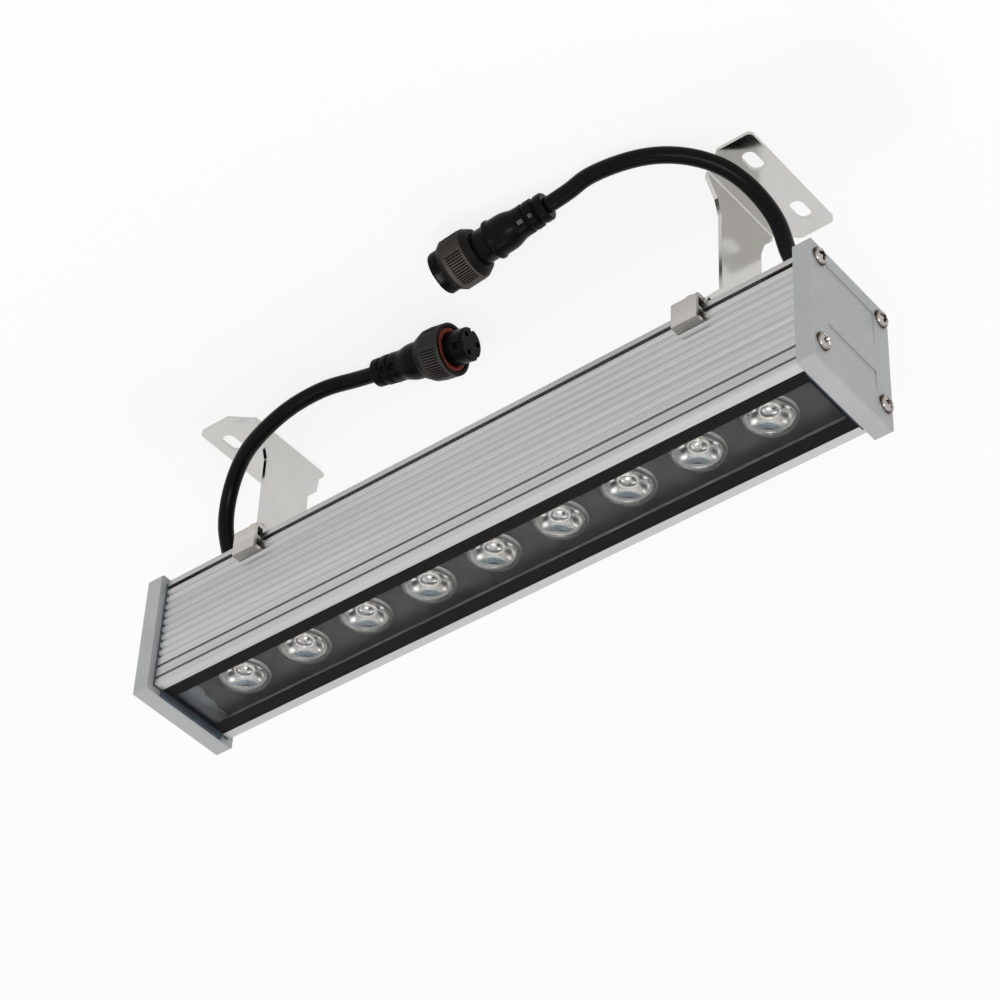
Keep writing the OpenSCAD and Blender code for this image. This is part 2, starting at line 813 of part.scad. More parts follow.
module glass_border() {
    half_l = body_l / 2 - glass_gap;
    half_w = lip_in - glass_gap;
    color(band_black)
        translate([0, 0, stand_h + seat_z + seal_t + glass_t])
            linear_extrude(height = border_t)
                difference() {
                    box_2d([-half_l, -half_w], [half_l, half_w]);
                    box_2d([-half_l + border_end, -half_w + border_side],
                        [half_l - border_end, half_w - border_side]);
                }
}

module glass_seal() {
    color(band_black)
        translate([0, 0, stand_h])
            run_x(-body_l / 2 + glass_gap, body_l / 2 - glass_gap)
                both_halves()
                    box_2d([seat_in, seat_z], [lip_in - glass_gap, seat_z + seal_t]);
}

// Lamps

// Places its children at each lamp
module at_lamps() {
    for (k = [0 : lamp_count - 1])
        translate([-body_l / 2 + lamp_margin + k * lamp_pitch, 0, stand_h])
            children();
}

module lens_plate() {
    half_l = body_l / 2 - plate_inset;
    half_w = channel_w / 2 - fit_gap;
    color(plate_grey)
        difference() {
            translate([-half_l, -half_w, stand_h + plate_z])
                cube([2 * half_l, 2 * half_w, plate_t]);
            at_lamps()
                translate([0, 0, plate_z - over])
                    cylinder(r = lens_r + fit_gap, h = plate_t + 2 * over);
        }
}

// Half outline of a lens: a reflecting cone, a flange on the plate, and a dished face
module lens_outline() {
    difference() {
        polygon([[0, board_top], [lens_foot_r, board_top], [lens_r, plate_z],
            [lens_r, plate_top], [lens_flange_r, plate_top],
            [lens_flange_r, plate_top + lens_flange_t], [lens_r, plate_top + lens_flange_t],
            [lens_dome_r, plate_top + lens_flange_t - dish_d],
            [0, plate_top + lens_flange_t - dish_d]]);
        box_2d([-over, board_top - over], [pocket_r, board_top + pocket_h]);
    }
    translate([0, plate_top + lens_flange_t - dish_d])
        intersection() {
            translate([0, -sqrt(pow(lens_dome_sphere_r, 2) - pow(lens_dome_r, 2))])
                circle(r = lens_dome_sphere_r);
            box_2d([0, -over], [lens_dome_r, lens_dome_r]);
        }
}

module lenses() {
    color(lens_clear)
        at_lamps()
            rotate_extrude()
                lens_outline();
}

module lamp_board() {
    half_l = body_l / 2 - plate_inset;
    color(board_white)
        translate([-half_l, -board_w / 2, stand_h + web_z])
            cube([2 * half_l, board_w, board_t]);
}

module lamp_emitters() {
    color(emitter_yellow)
        at_lamps()
            translate([0, 0, board_top]) {
                translate([-emitter_w / 2, -emitter_w / 2, 0])
                    cube([emitter_w, emitter_w, emitter_t]);
                translate([0, 0, emitter_t])
                    intersection() {
                        sphere(r = emitter_dome_r);
                        cylinder(r = emitter_dome_r, h = emitter_dome_r);
                    }
            }
}

// Driver in the lower chamber

module driver_board() {
    color(board_green)
        translate([-driver_l / 2, -driver_w / 2, stand_h + floor_t + rail_h])
            cube([driver_l, driver_w, driver_t]);
}

module driver_parts() {
    color(part_black)
        translate([0, 0, stand_h + floor_t + rail_h + driver_t])
            for (side = [-1, 1]) {
                translate([side * parts_pitch - coil_w / 2, -coil_w / 2, 0])
                    cube([coil_w, coil_w, coil_h]);
                translate([side * 2 * parts_pitch, 0, 0])
                    cylinder(r = capacitor_r, h = capacitor_h);
                translate([side * 3 * parts_pitch - coil_w / 2, -driver_w / 2 + block_inset, 0])
                    cube([coil_w, driver_w - 2 * block_inset, coil_h]);
            }
}

// Brackets, drawn on the right

// Side outline of the bent sheet: foot, leg and base plate with their two bends
module sheet_outline() {
    box_2d([leg_out + bend_r, 0], [foot_end, sheet_t]);
    box_2d([leg_in, sheet_t + bend_r], [leg_out, base_top - sheet_t - bend_r]);
    box_2d([base_end, base_top - sheet_t], [leg_in - bend_r, base_top]);
    translate([leg_out + bend_r, sheet_t + bend_r])
        bend_outline(180);
    translate([leg_in - bend_r, base_top - sheet_t - bend_r])
        bend_outline(0);
}

module bend_outline(turn) {
    rotate([0, 0, turn])
        intersection() {
            difference() {
                circle(r = bend_r + sheet_t);
                circle(r = bend_r);
            }
            square(bend_r + sheet_t);
        }
}

// Front outline of the leg, wide at both bends
module leg_outline() {
    top = base_top - flare_top_z;
    polygon([[0, 0], [leg_foot_w / 2, 0], [leg_foot_w / 2, flare_foot_z],
        [leg_w / 2 + flare_toe, flare_foot_z + flare_foot_h / 2],
        [leg_w / 2, flare_foot_z + flare_foot_h], [leg_w / 2, top - flare_top_h],
        [leg_top_w / 2, top], [leg_top_w / 2, base_top], [0, base_top]]);
}

// Plan outline of the foot: a slanted part beside the bend and a straight outer part
module foot_outline() {
    start = foot_end - foot_straight_l;
    difference() {
        union() {
            polygon([[leg_in - over, -leg_foot_w / 2], [leg_out + bend_r, -leg_foot_w / 2],
                [start, -foot_w / 2], [foot_end - foot_r, -foot_w / 2],
                [foot_end - foot_r, foot_w / 2], [start, foot_w / 2],
                [leg_out + bend_r, leg_foot_w / 2], [leg_in - over, leg_foot_w / 2]]);
            box_2d([start, -foot_w / 2 + foot_r], [foot_end, foot_w / 2 - foot_r]);
            for (side = [-1, 1])
                translate([foot_end - foot_r, side * (foot_w / 2 - foot_r)])
                    circle(r = foot_r);
        }
        for (side = [-1, 1])
            translate([foot_end - slot_inset, side * slot_pitch / 2])
                rounded_slot();
    }
}

module rounded_slot() {
    square([slot_w, slot_l - slot_w], center = true);
    for (side = [-1, 1])
        translate([0, side * (slot_l - slot_w) / 2])
            circle(r = slot_w / 2);
}

// Plan outline of the base plate: ears beside the clips and a narrower tongue
module base_outline() {
    difference() {
        union() {
            box_2d([ear_end, -leg_top_w / 2], [leg_out + over, leg_top_w / 2]);
            box_2d([base_end + tongue_r, -tongue_w / 2], [ear_end + over, tongue_w / 2]);
            box_2d([base_end, -tongue_w / 2 + tongue_r],
                [ear_end, tongue_w / 2 - tongue_r]);
            for (side = [-1, 1])
                translate([base_end + tongue_r, side * (tongue_w / 2 - tongue_r)])
                    circle(r = tongue_r);
        }
        for (side = [-1, 1])
            translate([clip_x, side * bolt_y])
                circle(r = bolt_r + thread_gap);
    }
}

module bracket() {
    color(sheet_steel)
        intersection() {
            run_y(-foot_w / 2 - over, foot_w / 2 + over)
                sheet_outline();
            union() {
                linear_extrude(height = sheet_t + bend_r)
                    foot_outline();
                run_x(leg_in, leg_out)
                    both_halves()
                        leg_outline();
                translate([0, 0, base_top - sheet_t - bend_r])
                    linear_extrude(height = sheet_t + bend_r)
                        base_outline();
            }
        }
}

// Section of a clip, as seen along the lamp, with its back to the right
module clip_section() {
    out = body_w / 2 + clip_out;
    wall = out - clip_wall_t;
    difference() {
        union() {
            box_2d([wall, arm_low], [out, clip_top]);
            box_2d([clip_arm_y, arm_low], [out, arm_top]);
            box_2d([body_w / 2 - clip_groove_d + tooth_gap, tooth_z],
                [wall + clip_wall_t / 2, tooth_z + tooth_t]);
            box_2d([body_w / 2 + slide_gap, clip_top - clip_lip_t],
                [wall + clip_wall_t / 2, clip_top]);
        }
        difference() {
            box_2d([out - clip_r, arm_low - over], [out + over, arm_low + clip_r]);
            translate([out - clip_r, arm_low + clip_r])
                circle(r = clip_r);
        }
    }
}

module clip() {
    color(clip_metal)
        difference() {
            translate([0, 0, stand_h])
                run_x(clip_x - clip_l / 2, clip_x + clip_l / 2)
                    clip_section();
            translate([clip_x, bolt_y, stand_h + arm_low - over])
                cylinder(r = bolt_r + fit_gap, h = clip_arm_t + 2 * over);
        }
}

// Bolts with their heads down
module clip_bolts() {
    color(bolt_steel)
        both_sides()
            translate([clip_x, bolt_y, stand_h + spring_low]) {
                rotate([180, 0, 0])
                    pan_head(bolt_head_r, bolt_head_h, bolt_dome_r);
                cylinder(r = bolt_r, h = -spring_low - slide_gap);
            }
}

module flat_washers() {
    color(bolt_steel)
        both_sides()
            translate([clip_x, bolt_y, stand_h + washer_low])
                difference() {
                    cylinder(r = washer_r, h = washer_t);
                    translate([0, 0, -over])
                        cylinder(r = bolt_r + fit_gap, h = washer_t + 2 * over);
                }
}

module spring_washers() {
    color(bolt_steel)
        both_sides()
            translate([clip_x, bolt_y, stand_h + spring_low])
                difference() {
                    cylinder(r = spring_r, h = spring_t);
                    translate([0, 0, -over])
                        cylinder(r = bolt_r + fit_gap, h = spring_t + 2 * over);
                    translate([0, -spring_split / 2, -over])
                        cube([spring_r + over, spring_split, spring_t + 2 * over]);
                }
}

// Cable glands, drawn on the right

// Radius of a hexagon's corners from its width across the flats
function hex_r(flats) = flats / 2 / cos(30);

module gland() {
    color(cable_black)
        translate([gland_x, 0, stand_h]) {
            translate([0, 0, -gland_flange_h])
                cylinder(r = hex_r(gland_flats), h = gland_flange_h, $fn = 6);
            translate([0, 0, -gland_flange_h / 2])
                cylinder(r = neck_r, h = neck_l + gland_flange_h / 2);
            translate([0, 0, -gland_h])
                cylinder(r1 = gland_mouth_r, r2 = gland_cap_r,
                    h = gland_cap_h / 2);
            translate([0, 0, -gland_h + gland_cap_h / 2])
                cylinder(r = gland_cap_r, h = gland_cap_h / 2);
        }
}

module gland_nut() {
    color(cable_black)
        translate([gland_x, 0, stand_h + floor_t])
            difference() {
                cylinder(r = hex_r(locknut_flats), h = locknut_t, $fn = 6);
                translate([0, 0, -over])
                    cylinder(r = neck_r + thread_gap, h = locknut_t + 2 * over);
            }
}

// Cables

function unit(v) = v / norm(v);
// Direction of a plug from its tilt and its turn in plan
function plug_way(tilt, turn) =
    [cos(tilt) * cos(turn), cos(tilt) * sin(turn), sin(tilt)];
// All pull points, from the gland mouth to the rear of the plug
function cable_pull(side, inner, end, way) = concat(
    [[side * gland_x, 0, gland_mouth_z], [side * gland_x, 0, gland_mouth_z - cable_lead]],
    [for (p = inner) [side * (gland_x - p[0]), p[1], p[2]]],
    [end - plug_lead * way, end]
);
// Pull point by number, continued straight past both ends
function pull_at(q, i) =
    i < 0 ? 2 * q[0] - q[1]
    : i > len(q) - 1 ? 2 * q[len(q) - 1] - q[len(q) - 2]
    : q[i];
// Point and direction of the smooth curve at share t of span i
function curve_at(q, i, t) =
    (pow(1 - t, 3) * pull_at(q, i - 1)
    + (3 * pow(t, 3) - 6 * pow(t, 2) + 4) * pull_at(q, i)
    + (-3 * pow(t, 3) + 3 * pow(t, 2) + 3 * t + 1) * pull_at(q, i + 1)
    + pow(t, 3) * pull_at(q, i + 2)) / 6;
function curve_way(q, i, t) = unit(
    -pow(1 - t, 2) * pull_at(q, i - 1)
    + (3 * pow(t, 2) - 4 * t) * pull_at(q, i)
    + (-3 * pow(t, 2) + 2 * t + 1) * pull_at(q, i + 1)
    + pow(t, 2) * pull_at(q, i + 2));
// Span and share of every ring
function ring_steps(q) = concat(
    [for (i = [0 : len(q) - 2]) for (j = [0 : cable_rings - 1]) [i, j / cable_rings]],
    [[len(q) - 2, 1]]
);
// Sideways direction of ring i, carried along the curve without twist
function carried(ways, i) =
    i == 0 ? unit(cross(ways[0], [1, 0, 0]))
    : let (last = carried(ways, i - 1)) unit(last - (last * ways[i]) * ways[i]);

module cable(q) {
    steps = ring_steps(q);
    centres = [for (s = steps) curve_at(q, s[0], s[1])];
    ways = [for (s = steps) curve_way(q, s[0], s[1])];
    last = len(steps) - 1;
    points = [
        for (i = [0 : last])
            let (across = carried(ways, i), up = cross(ways[i], across))
                for (k = [0 : cable_sides - 1])
                    let (a = 360 * k / cable_sides)
                        centres[i] + cable_d / 2 * (cos(a) * across + sin(a) * up)
    ];
    walls = [
        for (i = [0 : last - 1])
            for (k = [0 : cable_sides - 1])
                let (a = i * cable_sides + k, b = i * cable_sides + (k + 1) % cable_sides)
                    for (half = [0, 1])
                        half == 0 ? [a, a + cable_sides, b]
                            : [b, a + cable_sides, b + cable_sides]
    ];
    ends = [
        [for (k = [0 : cable_sides - 1]) k],
        [for (k = [0 : cable_sides - 1]) last * cable_sides + cable_sides - 1 - k]
    ];
    color(cable_black)
        polyhedron(points = points, faces = concat(walls, ends), convexity = 4);
}

module cable_left() {
    cable(cable_pull(-1, cable_left_pull, plug_one_at,
        plug_way(plug_one_tilt, plug_one_yaw)));
}

module cable_right() {
    cable(cable_pull(1, cable_right_pull, plug_two_at,
        plug_way(plug_two_tilt, plug_two_turn)));
}

// Plugs: each is drawn upright on its rear face and then laid down

module lay_plug_one() {
    translate(plug_one_at)
        rotate([0, 90 - plug_one_tilt, plug_one_yaw])
            children();
}

module lay_plug_two() {
    translate(plug_two_at)
        rotate([0, 90 - plug_two_tilt, plug_two_turn])
            children();
}

module boot() {
    color(plug_black)
        rotate_extrude()
            polygon([[0, 0], [boot_ring_r - boot_round, 0], [boot_ring_r, boot_round],
                [boot_ring_r, boot_ring_l],
                [boot_ring_r - boot_groove_d, boot_ring_l + boot_groove_d],
                [boot_r - boot_groove_d, boot_ring_l + 2 * boot_groove_d],
                [boot_r, boot_ring_l + 3 * boot_groove_d], [boot_r, boot_l], [0, boot_l]]);
}

// Cuts ribs into the side of a turned piece, from one height to another
module knurled(r, from, to, middle) {
    difference() {
        children();
        for (g = [0 : knurl_groups - 1])
            for (k = [0 : knurl_cuts - 1])
                rotate([0, 0, middle + g * 360 / knurl_groups
                    + (k - (knurl_cuts - 1) / 2) * knurl_step])
                    translate([r - knurl_d, -knurl_w / 2, from])
                        cube([knurl_d + over, knurl_w, to - from]);
    }
}

// Places its children at each contact
module at_contacts() {
    for (k = [0 : contact_count - 1])
        rotate([0, 0, 360 * (k + 1 / 2) / contact_count])
            translate([contact_y, 0, 0])
                children();
}

module plug_one_boot() {
    lay_plug_one()
        boot();
}

module plug_one_shell() {
    color(plug_black)
        lay_plug_one()
            difference() {
                rotate_extrude()
                    polygon([[0, boot_l], [boot_r, boot_l],
                        [shell_r, boot_l + shell_cone_l], [shell_r, ridge_s],
                        [shell_r + ridge_h, ridge_s + ridge_w / 4],
                        [shell_r + ridge_h, ridge_s + ridge_w * 3 / 4],
                        [shell_r - ridge_h, ridge_s + ridge_w],
                        [shell_r - ridge_h, collar_step_s], [barrel_r, collar_step_s],
                        [barrel_r, plug_one_l], [0, plug_one_l]]);
                translate([0, 0, socket_s])
                    cylinder(r = socket_r, h = socket_l + over);
                for (k = [0 : thread_turns - 1])
                    translate([0, 0, plug_one_l - (k + 1) * thread_pitch])
                        rotate_extrude()
                            polygon([[barrel_r - thread_d, 0],
                                [barrel_r + over, -thread_pitch / 2],
                                [barrel_r + over, thread_pitch / 2]]);
                for (k = [0 : knurl_groups - 1])
                    rotate([0, 0, plug_one_flat_turn + k * 360 / knurl_groups])
                        translate([barrel_r - key_flat_d, -key_flat_w / 2, plug_one_l - key_flat_l])
                            cube([key_flat_d + over, key_flat_w, key_flat_l + over]);
            }
}

module plug_one_collar() {
    color(knurl_grey)
        lay_plug_one()
            knurled(collar_r, collar_s + collar_bevel_l + collar_crown_l / 2,
                collar_s + collar_l - collar_nose_l - collar_crown_l, plug_one_rib_turn)
                rotate_extrude()
                    polygon([[shell_r - ridge_h + thread_gap, collar_s],
                        [collar_r - collar_crown - collar_bevel_d, collar_s],
                        [collar_r - collar_crown, collar_s + collar_bevel_l],
                        [collar_r, collar_s + collar_bevel_l + collar_crown_l],
                        [collar_r, collar_s + collar_l - collar_nose_l],
                        [collar_r - collar_nose_d, collar_s + collar_l],
                        [barrel_r + thread_gap, collar_s + collar_l],
                        [barrel_r + thread_gap, collar_step_s],
                        [shell_r - ridge_h + thread_gap, collar_step_s]]);
}

module plug_one_insert() {
    color(plug_black)
        lay_plug_one()
            translate([0, 0, socket_s])
                cylinder(r = socket_r - thread_gap, h = insert_t);
}

module plug_one_pins() {
    color(contact_brass)
        lay_plug_one()
            at_contacts()
                translate([0, 0, socket_s + insert_t])
                    cylinder(r = pin_r, h = pin_l);
}

module plug_two_boot() {
    lay_plug_two()
        boot();
}

module plug_two_shell() {
    color(plug_black)
        lay_plug_two()
            rotate_extrude()
                polygon([[0, boot_l], [boot_r, boot_l], [shell_r, boot_l + shell_cone_l],
                    [shell_r, neck_s], [neck_run_r, neck_s],
                    [neck_run_r, neck_s + neck_run], [0, neck_s + neck_run]]);
}

module plug_two_insert() {
    color(plug_black)
        lay_plug_two()
            difference() {
                rotate_extrude()
                    polygon([[0, flange_s], [flange_r, flange_s], [flange_r, ring_s],
                        [tip_r, ring_s], [tip_r, plug_two_l - tip_bevel],
                        [tip_r - tip_bevel, plug_two_l], [0, plug_two_l]]);
                at_contacts()
                    translate([0, 0, plug_two_l - hole_l])
                        cylinder(r = hole_r, h = hole_l + over);
                for (k = [0 : knurl_groups - 1])
                    rotate([0, 0, plug_two_key_turn + k * 360 / knurl_groups])
                        translate([tip_r - key_d, -key_w / 2, plug_two_l - key_l])
                            cube([key_d + over, key_w, key_l + over]);
            }
}

module plug_two_seal() {
    color(ring_red)
        lay_plug_two()
            translate([0, 0, ring_s + ring_t / 2])
                rotate_extrude() {
                    box_2d([tip_r + thread_gap, -ring_t / 2],
                        [ring_r - ring_t / 2, ring_t / 2]);
                    translate([ring_r - ring_t / 2, 0])
                        circle(r = ring_t / 2);
                }
}

module coupling_nut() {
    color(knurl_grey)
        lay_plug_two()
            knurled(nut_r, nut_s + nut_bevel_l, nut_end_s - nut_crown_l / 2,
                plug_two_rib_turn)
                rotate_extrude()
                    polygon([[neck_run_r + nut_run_gap, nut_s],
                        [nut_r - nut_crown - nut_bevel_d, nut_s],
                        [nut_r - nut_crown, nut_s + nut_bevel_l],
                        [nut_r, nut_s + nut_bevel_l + nut_crown_l],
                        [nut_r, nut_end_s - nut_crown / 2],
                        [nut_r - nut_crown / 2, nut_end_s],
                        [nut_bore_r + nut_crown / 2, nut_end_s],
                        [nut_bore_r, nut_end_s - nut_crown / 2],
                        [nut_bore_r, lip_end_s],
                        [neck_run_r + nut_run_gap, lip_end_s]]);
}

// Left-hand pieces are images of the right-hand ones
module left() {
    mirror([1, 0, 0])
        children();
}

module front() {
    mirror([0, 1, 0])
        children();
}

housing();
left() end_cap();  // end_cap_left
end_cap();  // end_cap_right
left() cap_gasket();  // cap_gasket_left
cap_gasket();  // cap_gasket_right
left() cap_screws();  // cap_screws_left
cap_screws();  // cap_screws_right
cover_glass();
glass_border();
glass_seal();
lens_plate();
lenses();
lamp_board();
lamp_emitters();
driver_board();
driver_parts();
left() bracket();  // bracket_left
bracket();  // bracket_right
left() front() clip();  // clip_left_front
left() clip();  // clip_left_back
front() clip();  // clip_right_front
clip();  // clip_right_back
left() clip_bolts();  // clip_bolts_left
clip_bolts();  // clip_bolts_right
left() spring_washers();  // spring_washers_left
spring_washers();  // spring_washers_right
left() flat_washers();  // flat_washers_left
flat_washers();  // flat_washers_right
left() gland();  // gland_left
gland();  // gland_right
left() gland_nut();  // gland_nut_left
gland_nut();  // gland_nut_right
cable_left();
cable_right();
plug_one_boot();
plug_one_shell();
plug_one_collar();
plug_one_insert();
plug_one_pins();
plug_two_boot();
plug_two_shell();
plug_two_insert();
plug_two_seal();
coupling_nut();
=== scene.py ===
import json
import math

import bmesh
import bpy
from mathutils import Matrix, Vector


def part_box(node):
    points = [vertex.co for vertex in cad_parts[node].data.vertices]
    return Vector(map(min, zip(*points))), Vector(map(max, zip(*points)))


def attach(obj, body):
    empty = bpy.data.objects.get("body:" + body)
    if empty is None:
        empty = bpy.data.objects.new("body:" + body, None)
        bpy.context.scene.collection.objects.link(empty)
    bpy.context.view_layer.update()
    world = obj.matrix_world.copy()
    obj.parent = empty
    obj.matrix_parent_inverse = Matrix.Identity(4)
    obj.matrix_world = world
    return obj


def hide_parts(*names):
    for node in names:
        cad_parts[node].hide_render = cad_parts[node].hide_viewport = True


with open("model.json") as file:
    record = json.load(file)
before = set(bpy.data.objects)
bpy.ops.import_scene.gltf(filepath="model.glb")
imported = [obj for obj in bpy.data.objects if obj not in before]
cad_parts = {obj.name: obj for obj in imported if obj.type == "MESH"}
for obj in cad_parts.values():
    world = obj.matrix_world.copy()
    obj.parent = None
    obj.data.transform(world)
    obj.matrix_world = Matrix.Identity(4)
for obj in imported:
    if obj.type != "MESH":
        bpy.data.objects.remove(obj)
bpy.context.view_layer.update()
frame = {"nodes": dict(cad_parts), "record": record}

NODES = frame["nodes"]
MM = 0.001
FIRST_LAMP = -116.8
LAMP_PITCH = 29.2
LAMP_COUNT = 9


# Camera, at the photograph's place and rolled as it is

CAMERA_AT = Vector((-0.540194, -0.631771, 0.819893))
RIGHT = Vector((-0.781063, 0.623397, -0.036281))
UP = Vector((-0.392342, -0.535113, -0.748145))
BACK = Vector((-0.485806, -0.570114, 0.662542))


def add_camera():
    data = bpy.data.cameras.new("camera")
    data.sensor_width = 36.0
    data.lens = 113.307
    data.clip_start = 0.05
    data.clip_end = 20.0
    camera = bpy.data.objects.new("camera", data)
    bpy.context.scene.collection.objects.link(camera)
    turn = Matrix((RIGHT, UP, BACK)).transposed().to_4x4()
    camera.matrix_world = Matrix.Translation(CAMERA_AT) @ turn
    bpy.context.scene.camera = camera


add_camera()


# Cables: one smooth curve through the pull points of each, in millimetres

GLAND_X = 130.0
MOUTH_Z = 57.0
LEAD = 9.0
PLUG_LEAD = 12.0
CABLE_D = 6.2
STEPS = 40
LEFT_PULL = [(4, -1, 37), (4, -4, 25), (9, -15, 12), (15, -26, 7), (26, -36, 4), (39, -43, 4),
             (58, -45, 3)]
RIGHT_PULL = [(-2, -5, 35), (5, -11, 21), (18, -18, 14), (34, -22, 12), (46, -22, 8),
              (59, -18, 3)]


def plug_way(tilt, turn):
    a, b = math.radians(tilt), math.radians(turn)
    return Vector((math.cos(a) * math.cos(b), math.cos(a) * math.sin(b), math.sin(a)))


PLUG_ONE_WAY = plug_way(7.5, -1.0)
PLUG_TWO_WAY = plug_way(9.5, 176.0)
PLUG_ONE_AT = Vector((-54.5, -43.6, 5.4288))
PLUG_TWO_AT = Vector((49.5, -14.0, 5.3448))


def pull_points(side, inner, end, way):
    q = [Vector((side * GLAND_X, 0, MOUTH_Z)), Vector((side * GLAND_X, 0, MOUTH_Z - LEAD))]
    q += [Vector((side * (GLAND_X - p[0]), p[1], p[2])) for p in inner]
    q += [end - PLUG_LEAD * way, end]
    return [2 * q[0] - q[1]] + q + [2 * q[-1] - q[-2]]


def spline_point(q, i, t):
    return ((1 - t) ** 3 * q[i] + (3 * t ** 3 - 6 * t ** 2 + 4) * q[i + 1]
            + (-3 * t ** 3 + 3 * t ** 2 + 3 * t + 1) * q[i + 2] + t ** 3 * q[i + 3]) / 6


def spline_way(q, i, t):
    return (-(1 - t) ** 2 * q[i] + (3 * t ** 2 - 4 * t) * q[i + 1]
            + (-3 * t ** 2 + 2 * t + 1) * q[i + 2] + t ** 2 * q[i + 3]) / 2


def cable_curve(name, q):
    """A tube on a Bezier spline that repeats the smooth curve of the pull points. Its points hold
    the tube's radius, because a curve's box reaches as far as the radius of its points."""
    spans = len(q) - 3
    at = [(i, j / 2) for i in range(spans) for j in range(2)] + [(spans - 1, 1.0)]
    data = bpy.data.curves.new(name, "CURVE")
    data.dimensions = "3D"
    data.resolution_u = 10
    data.bevel_depth = 1.0
    data.bevel_resolution = 10
    data.use_fill_caps = True
    spline = data.splines.new("BEZIER")
    spline.bezier_points.add(len(at) - 1)
    for point, (i, t) in zip(spline.bezier_points, at):
        co = spline_point(q, i, t) * MM
        arm = spline_way(q, i, t) / 6 * MM
        point.handle_left_type = point.handle_right_type = "FREE"
        point.co = co
        point.radius = CABLE_D / 2 * MM
        point.handle_left = co - arm
        point.handle_right = co + arm
    obj = bpy.data.objects.new(name, data)
    bpy.context.scene.collection.objects.link(obj)
    points = [spline_point(q, i, k / STEPS) for i in range(spans) for k in range(STEPS + 1)]
    length = sum((b - a).length for a, b in zip(points, points[1:]))
    return obj, length * MM


left_q = pull_points(-1, LEFT_PULL, PLUG_ONE_AT, PLUG_ONE_WAY)
right_q = pull_points(1, RIGHT_PULL, PLUG_TWO_AT, PLUG_TWO_WAY)
flex_left, left_length = cable_curve("flex_left", left_q)
flex_right, right_length = cable_curve("flex_right", right_q)
for flex, node in ((flex_left, "cable_left"), (flex_right, "cable_right")):
    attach(flex, "lamp")
    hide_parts(node)


# Materials

LENS_TURN = math.radians(218.6)
WANDER = 0.8


